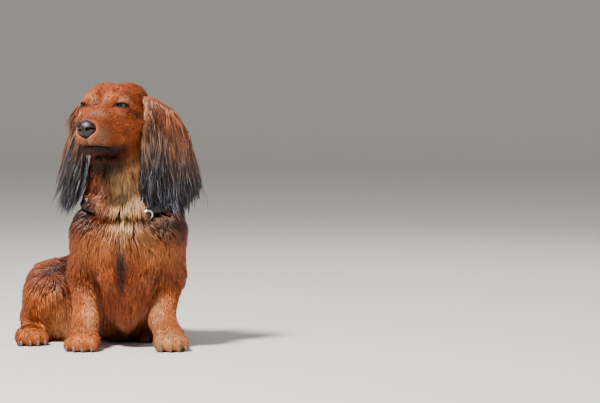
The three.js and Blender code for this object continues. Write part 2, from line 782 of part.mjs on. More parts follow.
// A point of the ear, from its share of the way down and its place across, from -1 to 1.
function earPoint(s, down, place, lift = 0) {
  const { root, across, out } = earFrame(s);
  const cup = 9 * (1 - down * 0.6) * (0.4 - place * place);
  const rise = 9 * Math.sin(Math.PI * Math.min(down * 4, 1)) * (1 - down);
  return root
    .clone()
    .addScaledVector(across, sampled(EAR.backward, down) + place * sampled(EAR.widths, down))
    .addScaledVector(out, sampled(EAR.outward, down) + cup + lift)
    .add(vec(0, 0, rise - EAR.length * down));
}
function sampled(list, share) {
  const place = clamp(share, 0, 1) * (list.length - 1);
  const i = Math.min(Math.floor(place), list.length - 2);
  return lerp(list[i], list[i + 1], place - i);
}
function earLeather(s) {
  const corners = 2 * EAR.columns;
  const rings = [];
  for (let r = 0; r < EAR.rows; r += 1) {
    const down = r / (EAR.rows - 1);
    const ring = [];
    for (let c = 0; c < corners; c += 1) {
      const front = c < EAR.columns;
      const spread = ((front ? c : corners - 1 - c) / (EAR.columns - 1)) * 2 - 1;
      const edge = Math.sqrt(1 - 0.86 * spread ** 2);
      const half = (EAR.thick / 2) * edge * (1 - 0.35 * down);
      ring.push(earPoint(s, down, spread, front ? half : -half));
    }
    rings.push(ring);
  }
  return solidRings(rings);
}

// A closed solid from rings of points, with a fan over each end.
function solidRings(rings) {
  const corners = rings[0].length;
  const flat = [];
  const faces = [];
  for (const ring of rings) for (const p of ring) flat.push(p.x, p.y, p.z);
  const ends = [rings[0], rings[rings.length - 1]];
  for (const ring of ends) {
    const middle = vec(0, 0, 0);
    for (const p of ring) middle.addScaledVector(p, 1 / corners);
    flat.push(middle.x, middle.y, middle.z);
  }
  const first = rings.length * corners;
  const last = (rings.length - 1) * corners;
  for (let c = 0; c < corners; c += 1) {
    const next = (c + 1) % corners;
    faces.push(first, next, c, first + 1, last + c, last + next);
    for (let r = 0; r + 1 < rings.length; r += 1) {
      const a = r * corners;
      const b = a + corners;
      faces.push(a + c, a + next, b + next, a + c, b + next, b + c);
    }
  }
  const g = new THREE.BufferGeometry();
  g.setAttribute("position", new THREE.BufferAttribute(new Float32Array(flat), 3));
  g.setIndex(faces);
  return rightWayOut(g);
}

// The collar, a band that follows the neck in a plane, and its small metal ring. Each row of
// the band takes its own distance from the neck, so the band leans as the neck widens.
const BAND = { corners: 22, off: 2.4, thick: 3, tall: 3.6, above: 1.2 };
const RING_SHARE = 0.82; // place of the metal ring, as a share of the way round
const RING = { radius: 7.5, wire: 1.4, off: 1.2, lower: 1 };
function collarBand(grow = 0) {
  const normal = COLLAR.direction;
  const centre = COLLAR.point.clone().addScaledVector(normal, BAND.tall + BAND.above);
  const right = vec(1, 0, 0);
  const back = vec().crossVectors(normal, right).normalize();
  const flat = [];
  let place = null;
  for (let i = 0; i < BAND.corners; i += 1) {
    const angle = (i / BAND.corners) * 2 * Math.PI;
    const out = right.clone().multiplyScalar(Math.cos(angle)).addScaledVector(back, Math.sin(angle));
    const rows = [-BAND.tall, BAND.tall].map((rise) => {
      const from = centre.clone().addScaledVector(normal, rise);
      return skinPoint(from, out).addScaledVector(out, BAND.off - grow);
    });
    rows[0].addScaledVector(normal, -grow);
    rows[1].addScaledVector(normal, grow);
    const depth = BAND.thick + 2 * grow;
    const outer = rows.map((p) => p.clone().addScaledVector(out, depth));
    for (const p of [rows[0], outer[0], outer[1], rows[1]]) flat.push(p.x, p.y, p.z);
    if (i === Math.round(BAND.corners * RING_SHARE)) place = { centre: outer[0], out, normal };
  }
  const faces = [];
  for (let i = 0; i < BAND.corners; i += 1)
    for (let c = 0; c < 4; c += 1) {
      const a = i * 4 + c;
      const b = i * 4 + ((c + 1) % 4);
      const far = (v) => (v + 4) % (BAND.corners * 4);
      faces.push(a, b, far(b), a, far(b), far(a));
    }
  const g = new THREE.BufferGeometry();
  g.setAttribute("position", new THREE.BufferAttribute(new Float32Array(flat), 3));
  g.setIndex(faces);
  return { band: rightWayOut(g), place };
}
function collarRing({ centre, out, normal }, grow = 0) {
  const g = new THREE.TorusGeometry(RING.radius, RING.wire + grow, 5, 14);
  const basis = new THREE.Matrix4().makeBasis(vec().crossVectors(normal, out), normal, out);
  g.applyMatrix4(basis);
  const away = RING.wire + RING.off;
  const spot = centre.clone().addScaledVector(out, away).addScaledVector(normal, -RING.lower);
  g.translate(spot.x, spot.y, spot.z);
  return solidOf(g);
}

// Claws, four to a paw.
function claws(spot, size) {
  const f = frameAt(spot.paw, spot.turn, 0);
  return TOES.map((toe) => {
    const ahead = (22 - 3.6 * toe * toe) * size;
    const path = [
      f.at(ahead - 2, toe * 13.2 * size, -1),
      f.at(ahead + 4.5, toe * 13.4 * size, -3),
      f.at(ahead + 8, toe * 13.5 * size, -8),
      f.at(ahead + 9, toe * 13.5 * size, 1 - spot.paw.z),
    ];
    return solidLoft(tubeStations(path, [3.2, 3, 2.2, 0.6], f.left), 5);
  });
}

// Long hair. A lock starts in the skin, runs along the lie of the coat, droops, and tapers to a
// point. It stays a little off the skin, and a flat-lying one is drawn back down to it.
const LOCK = {
  steps: 4,
  corners: 3,
  sunk: 7, // depth of the root
  shape: [0.66, 1, 0.95, 0.6], // width along the lock, before its tip
  flat: 0.42, // thickness over width
  wave: 0.09, // sideways swing over length
};
const DOWN = vec(0, 0, -1);
const random = seeded(7);
const about = (value, spread) => value * (1 + spread * (random() * 2 - 1));

function lockPath(root, lie, length, { lift = 5, droop = 0.5, hug = 0.5 }) {
  const p = root.clone();
  const way = lie.clone().normalize();
  const inward = slope(bodyField, root).normalize().negate();
  const path = [root.clone().addScaledVector(inward, LOCK.sunk)];
  for (let i = 1; i <= LOCK.steps; i += 1) {
    way.lerp(DOWN, droop / LOCK.steps).normalize();
    p.addScaledVector(way, length / LOCK.steps);
    const off = bodyField(p);
    const want = lift * Math.min(1, i / 2);
    const up = slope(bodyField, p).normalize();
    if (off < want) p.addScaledVector(up, want - off);
    else p.addScaledVector(up, (want - off) * hug);
    p.z = Math.max(p.z, FLOOR_FLAT + 2.5);
    path.push(p.clone());
  }
  return path;
}
// The rings of a lock. Its face is the direction that its ridge points to.
function lockStations(path, width, face) {
  const swing = (random() - 0.5) * 2 * LOCK.wave * path[0].distanceTo(path[LOCK.steps]);
  const stations = [];
  for (let i = 0; i < LOCK.steps; i += 1) {
    const along = vec().subVectors(path[i + 1], path[Math.max(i - 1, 0)]).normalize();
    const out = (face ?? slope(bodyField, path[i + 1])).clone();
    out.addScaledVector(along, -out.dot(along)).normalize();
    const across = vec().crossVectors(along, out);
    const half = (width / 2) * LOCK.shape[i];
    stations.push({
      centre: path[i].clone().addScaledVector(across, swing * Math.sin((i / LOCK.steps) * Math.PI * 1.5)),
      across,
      out,
      wide: half * 1.15,
      thick: half * LOCK.flat * 1.6,
    });
  }
  stations[LOCK.steps - 1].tip = path[LOCK.steps].clone();
  return stations;
}
const locksOf = new Map();
function addLock(node, root, lie, length, width, options = {}) {
  const path = options.path ?? lockPath(root, lie, about(length, 0.16), options);
  const stations = lockStations(path, about(width, 0.15), options.face);
  if (!locksOf.has(node)) locksOf.set(node, []);
  locksOf.get(node).push(stations);
}
function grownStations(stations, grow) {
  return stations.map((s) => ({ ...s, wide: s.wide + grow, thick: s.thick + grow }));
}

// Rings of locks round an upright middle line: heights, how many, the arc in degrees that they
// stand in, and how their lie leans toward the middle line of the dog.
function ringOfLocks(node, { middle, height, count, arc, gather = 0, length, width, ...options }) {
  for (let i = 0; i < count; i += 1) {
    const share = count > 1 ? i / (count - 1) : 0.5;
    const angle = rad(lerp(arc[0], arc[1], share) + (random() - 0.5) * 6);
    const out = vec(Math.sin(angle), -Math.cos(angle), 0);
    const from = vec(middle.x, middle.y, about(height, 0.02));
    const root = skinPoint(from, out);
    const lie = vec(-Math.sin(angle) * gather, 0, -1);
    addLock(node, root, lie, length, width, options);
  }
}

// The ruff of the throat, which gathers to a point between the shoulders.
const NECK_LINE = vec(-4, 2, 0);
const RUFF = [
  { height: 290, count: 5, arc: [-62, 58], gather: 0.15, length: 52, width: 24, lift: 6 },
  { height: 262, count: 6, arc: [-84, 80], gather: 0.35, length: 66, width: 24, lift: 9.5 },
];
for (const ring of RUFF) ringOfLocks("neck", { middle: NECK_LINE, ...ring });

// The bib and the forechest, down to the belly, and the hair along each side of the belly.
const CHEST_LINE = vec(0, -4, 0);
const KEEL_LINE = vec(0, 10, 0);
const CHEST = [
  { middle: CHEST_LINE, height: 214, count: 4, arc: [-46, 46], gather: 0.5, length: 60, width: 26, lift: 7 },
  { middle: CHEST_LINE, height: 182, count: 5, arc: [-50, 50], gather: 0.1, length: 62, width: 27, lift: 6 },
  { middle: CHEST_LINE, height: 146, count: 4, arc: [-40, 40], gather: -0.1, length: 60, width: 26, lift: 6 },
  { middle: KEEL_LINE, height: 104, count: 5, arc: [-34, 34], length: 72, width: 25, droop: 1, hug: 0.1 },
];
for (const ring of CHEST) ringOfLocks("torso", ring);
for (const s of Object.values(SIDES))
  for (let i = 0; i < 2; i += 1) {
    const root = skinPoint(vec(-4, 50 + i * 36, 92 - i * 8), vec(s, 0, -0.55));
    addLock("torso", root, vec(0.2 * s, 0.5, -1), 52, 26, { droop: 0.8, hug: 0.2 });
  }

// Feathering down the back of each front leg.
for (const [name, s] of Object.entries(SIDES)) {
  const { elbow, wrist } = FORE[name];
  for (const [down, aside, length] of [[0.1, 0.5, 50], [0.1, -0.3, 50], [0.42, 0.3, 42], [0.72, 0, 34]]) {
    const from = elbow.clone().lerp(wrist, down);
    const root = skinPoint(from, vec(aside * s, 1, -0.15));
    addLock(`foreleg_${name}`, root, vec(0.15 * s, 0.55, -1), length, 19, { droop: 0.9, hug: 0, lift: 4 });
  }
}

// Long hair that streams down each thigh to the floor, and the breeches behind.
for (const [name, s] of Object.entries(SIDES)) {
  const { hip, knee } = HIND[name];
  const rows = s < 0 ? [0.02, 0.28, 0.54, 0.8, 1.04] : [0.1, 0.5, 0.9];
  for (const share of rows) {
    const from = hip.clone().lerp(knee, share);
    const out = pelvis.along(0.25 * (share - 0.5), s, 0.25);
    const root = skinPoint(from, out);
    const stream = { droop: 0.7, lift: 5, hug: 0.4 };
    addLock(`hindleg_${name}`, root, pelvis.along(-0.3, 0.25 * s, -1), 66, 29, stream);
    if (s > 0 || share < 0.2) continue;
    const lower = skinPoint(from, pelvis.along(0.1 * (share - 0.5), s, -0.35));
    const hem = { droop: 0.5, lift: 5, hug: 0.2 };
    addLock(`hindleg_${name}`, lower, pelvis.along(-0.25, 0.2 * s, -1), 40, 26, hem);
  }
  for (const aside of [0.1, 0.7]) {
    const root = skinPoint(hip, pelvis.along(-1, aside * s, 0.1));
    const breech = { droop: 0.6, lift: 5, hug: 0.2 };
    addLock(`hindleg_${name}`, root, pelvis.along(-0.7, 0.1 * s, -1), 50, 28, breech);
  }
}

// The plume of the tail: a pair of locks at each of these joints, a share of the way to the next.
const PLUME = [[1, 0.1], [2, 0.1], [3, 0.1], [3, 0.6]];
for (const [joint, share] of PLUME) {
  const from = TAIL[joint].clone().lerp(TAIL[joint + 1], share);
  const along = vec().subVectors(TAIL[joint + 1], TAIL[joint - 1]).normalize();
  const beside = vec().crossVectors(along, vec(0, 0, 1));
  for (const s of [-1, 1]) {
    const root = skinPoint(from, beside.clone().multiplyScalar(s).add(vec(0, 0, 0.2)));
    const lie = along.clone().addScaledVector(beside, 0.5 * s);
    addLock("tail", root, lie, 52, 20, { droop: 0.15, hug: 0.2, lift: 3.5 });
  }
}

// The feathering of the ears: a fringe that hangs from the lower edge, locks on the outer face
// and locks that stream from the two side edges.
const OFF_LEATHER = 4.5; // how far an ear's lock stands off its leather
const OFF_BODY = 6; // how far an ear's lock stands off the cheek and the shoulder
function earLock(name, s, down, place, length, width, spread) {
  const { across, out } = earFrame(s);
  const root = earPoint(s, down, place, 1);
  const path = [earPoint(s, down - 0.06, place * 0.92, 0)];
  const flare = s < 0 ? 0.4 : 0.1; // the ear on the far side of the turned head swings out more
  const way = vec(0, 0, -1).addScaledVector(across, spread).addScaledVector(out, flare * down);
  const p = root.clone();
  for (let i = 1; i <= LOCK.steps; i += 1) {
    way.normalize().lerp(DOWN, 0.1);
    p.addScaledVector(way, length / LOCK.steps);
    const inner = earPoint(s, down + (i * length) / LOCK.steps / EAR.length, place, 0);
    const ahead = vec().subVectors(p, inner).dot(out);
    if (ahead < OFF_LEATHER && p.z > earPoint(s, 1, 0).z) p.addScaledVector(out, OFF_LEATHER - ahead);
    const off = bodyField(p);
    if (off < OFF_BODY) p.addScaledVector(slope(bodyField, p).normalize(), OFF_BODY - off);
    path.push(p.clone());
  }
  addLock(name, root, null, length, width, { path, face: out });
}
for (const [side, s] of Object.entries(SIDES)) {
  const name = `ear_${side}`;
  for (const place of [-0.84, -0.42, 0, 0.42, 0.84]) earLock(name, s, 0.9, place, 56, 28, place * 0.22);
  for (const place of [-0.45, 0.4]) earLock(name, s, 0.5, place, 78, 28, place * 0.2);
  for (const down of [0.34, 0.7]) earLock(name, s, down, 0.96, 60, 21, 0.28);
  earLock(name, s, 0.6, -0.96, 54, 18, -0.12);
}

// Colours of the parts.
const COLOURS = {
  coat: { color: 0x8a3a12, roughness: 0.55, metalness: 0 },
  ears: { color: 0x2a201e, roughness: 0.5, metalness: 0 },
  ruff: { color: 0xa87442, roughness: 0.6, metalness: 0 },
  legs: { color: 0xa4541f, roughness: 0.6, metalness: 0 },
  nose: { color: 0x101012, roughness: 0.3, metalness: 0 },
  eyes: { color: 0x1c120c, roughness: 0.08, metalness: 0 },
  leather: { color: 0x1e1a18, roughness: 0.5, metalness: 0 },
  metal: { color: 0xb9bcc2, roughness: 0.25, metalness: 1 },
};
function coloured(slot) {
  return new THREE.MeshStandardMaterial(COLOURS[slot]);
}

const { face, eyes } = addEyes(core.get("head"));
core.set("head", face.subtract(noseSolid(CUT)).subtract(mouthCut()));
for (const name of Object.keys(SIDES)) {
  const paws = [["forepaw", FORE[name], FORE_PAW_SIZE], ["hindpaw", HIND[name], HIND_PAW_SIZE]];
  for (const [paw, spot, size] of paws) {
    const key = `${paw}_${name}`;
    core.set(key, wasm.Manifold.union([core.get(key), ...claws(spot, size)]));
  }
}
const { band, place } = collarBand();

// Fuses each part's locks to it. They keep clear of the skins of the other parts, of the collar
// and of the locks that were laid before them.
const LOCK_ROOM = 0.5; // how far a lock keeps from the collar and from an earlier lock
const collarRoom = collarBand(LOCK_ROOM).band.add(band).add(collarRing(place, LOCK_ROOM));
function withLocks(parts) {
  let laid = collarRoom;
  for (const [name, stations] of locksOf) {
    let locks = wasm.Manifold.union(stations.map((s) => solidLoft(s, LOCK.corners)));
    for (const [other, room] of shell) if (other !== name) locks = locks.subtract(room);
    locks = locks.subtract(laid);
    parts.set(name, largest(parts.get(name).add(locks)));
    const grown = stations.map((s) => solidLoft(grownStations(s, LOCK_ROOM), LOCK.corners));
    laid = wasm.Manifold.union([laid, ...grown]);
  }
}
for (const [name, s] of Object.entries(SIDES)) {
  let leather = earLeather(s);
  for (const other of ["head", "neck", "torso"]) leather = leather.subtract(shell.get(other));
  core.set(`ear_${name}`, largest(leather));
}
withLocks(core);

const SLOTS = { ear: "ears", neck: "ruff", foreleg: "legs", forepaw: "legs", hindpaw: "legs" };
const dog = new THREE.Group();
function addNode(name, solid, slot) {
  const standing = solid.intersect(halfSpace(vec(0, 0, FLOOR_FLAT), vec(0, 0, 1)));
  const mesh = new THREE.Mesh(geometryOf(largest(withoutSlivers(largest(standing)))), coloured(slot));
  mesh.name = name;
  dog.add(mesh);
}
for (const [name, solid] of core) addNode(name, solid, SLOTS[name.split("_")[0]] ?? "coat");
for (const name of Object.keys(SIDES)) addNode(`eye_${name}`, eyes[name], "eyes");
addNode("nose", noseWithNostrils(), "nose");
const skins = shell.get("neck").add(shell.get("torso"));
addNode("collar", band.subtract(skins), "leather");
addNode("collar_ring", collarRing(place).subtract(skins), "metal");

// The origin is the middle of the whole dog's box, at floor level.
const box = new THREE.Box3().setFromObject(dog);
const middle = box.getCenter(vec());
for (const mesh of dog.children) mesh.position.set(-middle.x, -middle.y, FLOOR_FLAT);

export default dog;
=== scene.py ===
# %% [markdown]
# # A sitting long-haired dachshund
# The solids fix where every part of the dog is. Here each part gets its looks: a smooth skin,
# a coat of many small tapered tufts that follow the lie of the hair, wet eyes and nose, claws,
# a collar, and a pale floor under soft light. Lengths are in millimetres until a mesh is made.

import bpy
import numpy as np
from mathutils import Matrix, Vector
from mathutils.kdtree import KDTree


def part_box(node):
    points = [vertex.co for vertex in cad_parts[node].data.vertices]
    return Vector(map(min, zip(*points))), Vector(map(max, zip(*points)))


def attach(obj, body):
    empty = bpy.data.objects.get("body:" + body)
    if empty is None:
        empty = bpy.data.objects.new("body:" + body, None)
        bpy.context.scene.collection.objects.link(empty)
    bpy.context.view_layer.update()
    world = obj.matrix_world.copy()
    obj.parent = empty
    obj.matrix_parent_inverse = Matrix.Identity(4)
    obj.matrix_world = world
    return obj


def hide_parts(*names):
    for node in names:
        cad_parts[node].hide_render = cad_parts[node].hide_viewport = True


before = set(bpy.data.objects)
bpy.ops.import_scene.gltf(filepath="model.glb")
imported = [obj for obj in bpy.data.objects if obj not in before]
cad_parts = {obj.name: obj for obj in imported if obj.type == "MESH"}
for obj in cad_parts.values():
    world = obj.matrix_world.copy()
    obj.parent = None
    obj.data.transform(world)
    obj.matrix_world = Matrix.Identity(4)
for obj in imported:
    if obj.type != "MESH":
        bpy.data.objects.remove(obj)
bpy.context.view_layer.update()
MM = 0.001
rng = np.random.default_rng(11)

# %% [markdown]
# ## Small tools
# A direction must have length one before it is used as an axis. A frame of its own, with
# forward, left and up, lets the head be built as if it looked straight ahead, and turned after.


# %% Vectors and frames
def vec(*values):
    """A row of numbers as an array."""
    return np.array(values, float)


def unit(v):
    """The same direction with length one. Works on one vector or on rows of them."""
    return v / np.maximum(np.linalg.norm(v, axis=-1, keepdims=True), 1e-9)


class Frame:
    """Forward, left and up directions at a place, from turns to the right and nose up."""

    def __init__(self, origin, right_degrees, up_degrees=0.0):
        turn, tilt = np.radians(right_degrees), np.radians(up_degrees)
        self.origin = np.array(origin, float)
        self.forward = vec(-np.sin(turn) * np.cos(tilt), -np.cos(turn) * np.cos(tilt), np.sin(tilt))
        self.left = vec(np.cos(turn), -np.sin(turn), 0)
        self.up = np.cross(self.forward, self.left)

    def along(self, f, l, u):
        """A direction given as forward, left and up lengths."""
        return self.forward * f + self.left * l + self.up * u

    def at(self, f, l, u):
        """A place given as forward, left and up lengths from the origin."""
        return self.origin + self.along(f, l, u)

    def local(self, p):
        """Rows of places, as their forward, left and up lengths from the origin."""
        return (p - self.origin) @ np.stack([self.forward, self.left, self.up], 1)


SIDES = {"left": 1, "right": -1}
head = Frame((-15.5, -35, 375), 20, 2)
pelvis = Frame((-65, 196, 74), -28)

# %% [markdown]
# ## The body as a field
# One number at every place says how far it is from the skin, below zero inside. Each limb is a
# swell: a line between two points with a half width and half height at each end. A smooth
# minimum joins two distances, so that limbs run into each other without a crease. Each swell
# also knows how deep its coat is, because the skin lies that far inside the outer form.


# %% Swells and the field
class Swell:
    """A rounded limb from a to b. Its distance is scaled so that it is right near the skin."""

    def __init__(self, a, b, widths, heights, side=(1, 0, 0), cap=None, blend=14.0, coat=6.0):
        self.a, self.b = np.array(a, float), np.array(b, float)
        self.length = max(np.linalg.norm(self.b - self.a), 1e-6)
        self.axis = (self.b - self.a) / self.length
        side = np.array(side, float)
        self.across = unit(side - self.axis * (side @ self.axis))
        self.other = np.cross(self.axis, self.across)
        self.widths, self.heights = np.array(widths, float), np.array(heights, float)
        self.cap = (self.widths + self.heights) / 2 if cap is None else np.array(cap, float)
        self.blend, self.coat = blend, coat
        self.reach = max(self.widths.max(), self.heights.max(), self.cap.max()) + blend

    def distance(self, p):
        """Distance of rows of places from the outer form of this swell."""
        q = p - self.a
        along = q @ self.axis
        share = np.clip(along / self.length, 0, 1)
        past = along - share * self.length
        w = self.widths[0] + (self.widths[1] - self.widths[0]) * share
        h = self.heights[0] + (self.heights[1] - self.heights[0]) * share
        c = np.where(past < 0, self.cap[0], self.cap[1])
        x, y, z = (q @ self.across) / w, (q @ self.other) / h, past / c
        k0 = np.sqrt(x * x + y * y + z * z)
        k1 = np.sqrt((x / w) ** 2 + (y / h) ** 2 + (z / c) ** 2)
        return np.where(k1 < 1e-6, -np.minimum(w, h), k0 * (k0 - 1) / np.maximum(k1, 1e-6))


def ball(centre, sizes, frame_, blend, coat):
    """A swell without length: half sizes along, across and up in a frame."""
    along, across, up = sizes
    end = centre + frame_.forward * 0.01
    return Swell(centre, end, [across] * 2, [up] * 2, frame_.left, [along] * 2, blend, coat)


def smooth_less(a, b, k):
    """The lesser of two distances, rounded where they are within k of each other."""
    h = np.maximum(k - np.abs(a - b), 0) / k
    return np.minimum(a, b) - h * h * k / 4


def field_of(swells, p, coat_share=0.0):
    """Distance of rows of places from the body. coat_share 1 gives the skin, 0 the outer form."""
    d = np.full(len(p), 1e3)
    for s in swells:
        middle = (s.a + s.b) / 2
        near = np.abs(p - middle).max(1) < s.length / 2 + s.reach + 26
        if near.any():
            inside = s.distance(p[near]) + s.coat * coat_share
            d[near] = smooth_less(d[near], inside, s.blend)
    return d


def slope_of(swells, p, coat_share=0.0, step=0.8):
    """Uphill direction of the field, from its change over a small step along each axis."""
    slope = np.empty_like(p)
    for axis in range(3):
        move = np.zeros(3)
        move[axis] = step
        slope[:, axis] = field_of(swells, p + move, coat_share) - field_of(swells, p - move, coat_share)
    return unit(slope)


# %% [markdown]
# ## The limbs
# The measures follow the solids', with a fuller right thigh and finer forms on the face. A
# dachshund has a deep keel between short legs that bend in at the wrist, and it sits here with
# its hindquarters swung out to its right.

# %% Limbs of the head, neck and torso
h = head.at
face_side = head.left
HEAD = [
    Swell(h(-24, 0, -3), h(20, 0, -2), [46, 43], [40, 37], face_side, [36, 34], 14, 1.5),
    Swell(h(34, 0, -11), h(101, 0, -33), [30, 18], [27, 17], face_side, None, 16, 0.8),
    Swell(h(8, 0, -46), h(94, 0, -61), [30, 14], [20, 11], face_side, None, 12, 1.0),
]
for s in SIDES.values():
    HEAD += [
        Swell(h(2, 28 * s, -26), h(44, 21 * s, -33), [20, 16], [28, 22], face_side, None, 14, 1.5),
        Swell(h(34, 26 * s, 18), h(53, 17 * s, 14), [9, 8], [8.5, 7], face_side, None, 12, 1.0),
        ball(h(-6, 20 * s, 24), [34, 22, 18], head, 14, 1.5),
        Swell(h(56, 18 * s, -43), h(103, 10.5 * s, -45), [10, 8.5], [18, 14], face_side, None, 8, 0.8),
        ball(h(103, 9.5 * s, -40), [12.5, 9.5, 13], head, 8, 0.8),
        # Fold over the eye to its outer corner, pouch below it, and cheekbone.
        ball(h(54, 17 * s, 13), [8, 8, 8], head, 8, 0),
        Swell(h(46, 27 * s, 20), h(30, 41 * s, 3), [4.5, 4.5], [4.5, 4.5], face_side, None, 7, 0),
        Swell(h(57, 11 * s, 15), h(46, 13 * s, 29), [3.5, 3.5], [3.5, 3.5], face_side, None, 8, 0),
        Swell(h(58, 19 * s, -6), h(34, 39 * s, -9), [5, 4], [4.5, 4], face_side, None, 6, 0),
        Swell(h(40, 32 * s, -26), h(8, 42 * s, -18), [9, 9], [8, 9], face_side, None, 9, 1),
    ]
NECK = [
    Swell((-8, -6, 336), (-4, 4, 258), [47, 52], [44, 52], blend=22, coat=5),
    Swell((-4, 4, 262), (2, 6, 200), [54, 66], [54, 62], blend=26, coat=8),
    # Roll of skin between the jaw and the base of the ear.
    Swell((34, -30, 312), (-4, -46, 288), [11, 9], [10, 8], blend=9, coat=1),
]
TORSO = [
    Swell((3, -12, 178), (1, 20, 160), [76, 84], [70, 82], blend=30, coat=8),
    Swell((1, 24, 158), (-12, 96, 126), [82, 78], [80, 74], blend=26, coat=7),
    Swell((-12, 96, 126), (-40, 156, 98), [78, 68], [74, 66], blend=26, coat=7),
    Swell((-40, 156, 96), (-66, 200, 72), [68, 66], [66, 62], blend=26, coat=7),
    Swell((1, -40, 166), (0, -14, 104), [44, 36], [42, 42], blend=30, coat=8),
    Swell((0, -12, 100), (-14, 60, 70), [38, 46], [38, 36], blend=26, coat=8),
    Swell((-14, 60, 74), (-58, 180, 46), [48, 62], [44, 45], blend=26, coat=8),
    ball(vec(-68, 214, 48), [40, 62, 47], pelvis, 24, 7),
]
for s in SIDES.values():
    # Breast muscle on each side of the groove.
    TORSO.append(Swell((38 * s, -58, 178), (27 * s, -56, 118), [26, 20], [23, 21], blend=14, coat=8))

# %% Limbs of the legs, paws and tail
FORE = {
    "left": {"shoulder": vec(64, -24, 178), "elbow": vec(70, 8, 112), "wrist": vec(57, -50, 46),
             "paw": vec(70, -76, 12), "turn": -18},
    "right": {"shoulder": vec(-58, -24, 178), "elbow": vec(-72, 8, 112), "wrist": vec(-63, -50, 46),
              "paw": vec(-65, -76, 12), "turn": 12},
}
HIND = {
    "left": {"hip": vec(4, 200, 66), "knee": vec(34, 112, 76), "hock": vec(36, 158, 22),
             "paw": vec(38, 74, 12), "turn": -22},
    "right": {"hip": vec(-110, 172, 62), "knee": vec(-113, 78, 70), "hock": vec(-148, 106, 22),
              "paw": vec(-156, 16, 12), "turn": -18},
}
TOES = (-1.5, -0.5, 0.5, 1.5)
TAIL = [vec(-82, 244, 44), vec(-80, 272, 26), vec(-48, 300, 17), vec(4, 306, 14), vec(52, 286, 11)]
TAIL_RADII = (22, 17, 13, 10, 6)


def fore_leg(leg, s):
    """Shoulder, forearm and pastern of a front leg."""
    sh, el, wr, paw = leg["shoulder"], leg["elbow"], leg["wrist"], leg["paw"]
    upper = el + vec(-6 * s, -22, 16)
    forearm = el + vec(-2 * s, -14, 0)
    return [
        Swell(sh, upper, [30, 24], [56, 34], blend=24, coat=6),
        Swell(forearm, wr, [21, 17.5], [25, 19], blend=20, coat=2.5),
        Swell(wr, paw + vec(0, 10, 9), [18.5, 23], [19, 16], blend=12, coat=1.5),
    ]


def hind_leg(leg, s):
    """Thigh, folded shin and foot of a hind leg."""
    hip, knee, hock, paw = leg["hip"], leg["knee"], leg["hock"], leg["paw"]
    low_knee = vec(knee[0] - 2 * s, knee[1] + 8, 42)
    low_hock = vec(hock[0] - 6 * s, hock[1] + 6, 38)
    side = pelvis.left
    fuller = vec(-17, 0, 4) if s < 0 else vec(0, 0, 0)
    return [
        Swell(hip + fuller, knee + fuller, [52, 40], [62, 47], side, None, 24, 6),
        Swell(low_knee, low_hock, [34, 36], [41, 37], side, None, 22, 5.5),
        Swell(hock, paw + vec(0, 24, 3), [22, 22], [22, 16], side, None, 20, 3.5),
    ]


def paw_limbs(leg, size):
    """A pad with four toes, each a knuckle that drops to the floor."""
    f = Frame(leg["paw"], leg["turn"])
    back, front = f.at(-14 * size, 0, 0), f.at(6 * size, 0, 2)
    limbs = [Swell(back, front, [21 * size, 23 * size], [14, 14], f.left, None, 10, 1.0)]
    for toe in TOES:
        ahead = (22 - 3.6 * toe * toe) * size
        root, tip = f.at(ahead - 16 * size, toe * 11.5 * size, 3), f.at(ahead, toe * 13 * size, -2)
        limbs.append(Swell(root, tip, [8.4 * size, 7.6 * size], [12, 11], f.left, None, 5, 0.8))
    return limbs


BODY = TORSO + NECK + HEAD
for name, s in SIDES.items():
    BODY += fore_leg(FORE[name], s) + hind_leg(HIND[name], s)
for name in SIDES:
    BODY += paw_limbs(FORE[name], 1.0) + paw_limbs(HIND[name], 0.95)
for i in range(len(TAIL) - 1):
    radii = [TAIL_RADII[i], TAIL_RADII[i + 1]]
    BODY.append(Swell(TAIL[i], TAIL[i + 1], radii, radii, blend=6 if i else 16, coat=4))
print(len(BODY), "limbs and swells")

# %% [markdown]
# ## Where the model stands
# The solids were moved so that the middle of their box is the origin. The left eyeball tells by
# how much: its place is known here and in the solids.

# %% Shift from the dog's measures to the row's frame
EYE = {"forward": 44, "aside": 27, "up": 5, "ball": 11, "lid": 2.4, "gap": 0.5, "wide": 9.4, "high": 3.2}


class EyeFrame:
    """The place of an eyeball, and the directions out of it, across it and up."""

    def __init__(self, s):
        self.centre = head.at(EYE["forward"], EYE["aside"] * s, EYE["up"])
        self.out = unit(head.along(0.78, 0.6 * s, 0.17))
        across = head.along(-0.6, 0.78 * s, -0.05)
        self.across = unit(across - self.out * (across @ self.out))
        self.up = np.cross(self.out, self.across) * s


eye_low, eye_high = (np.array(corner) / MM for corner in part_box("eye_left"))
SHIFT = (eye_low + eye_high) / 2 - EyeFrame(1).centre
print("shift in mm", SHIFT.round(2))

# %% [markdown]
# ## From a field to a mesh
# The field is worked out on a grid. Every cell that the skin crosses gets one point, at the
# middle of the places where the cell's edges cross the skin, and every crossed edge gets a face
# between its four cells. Each swell is only worked out near itself, which saves most of the work.


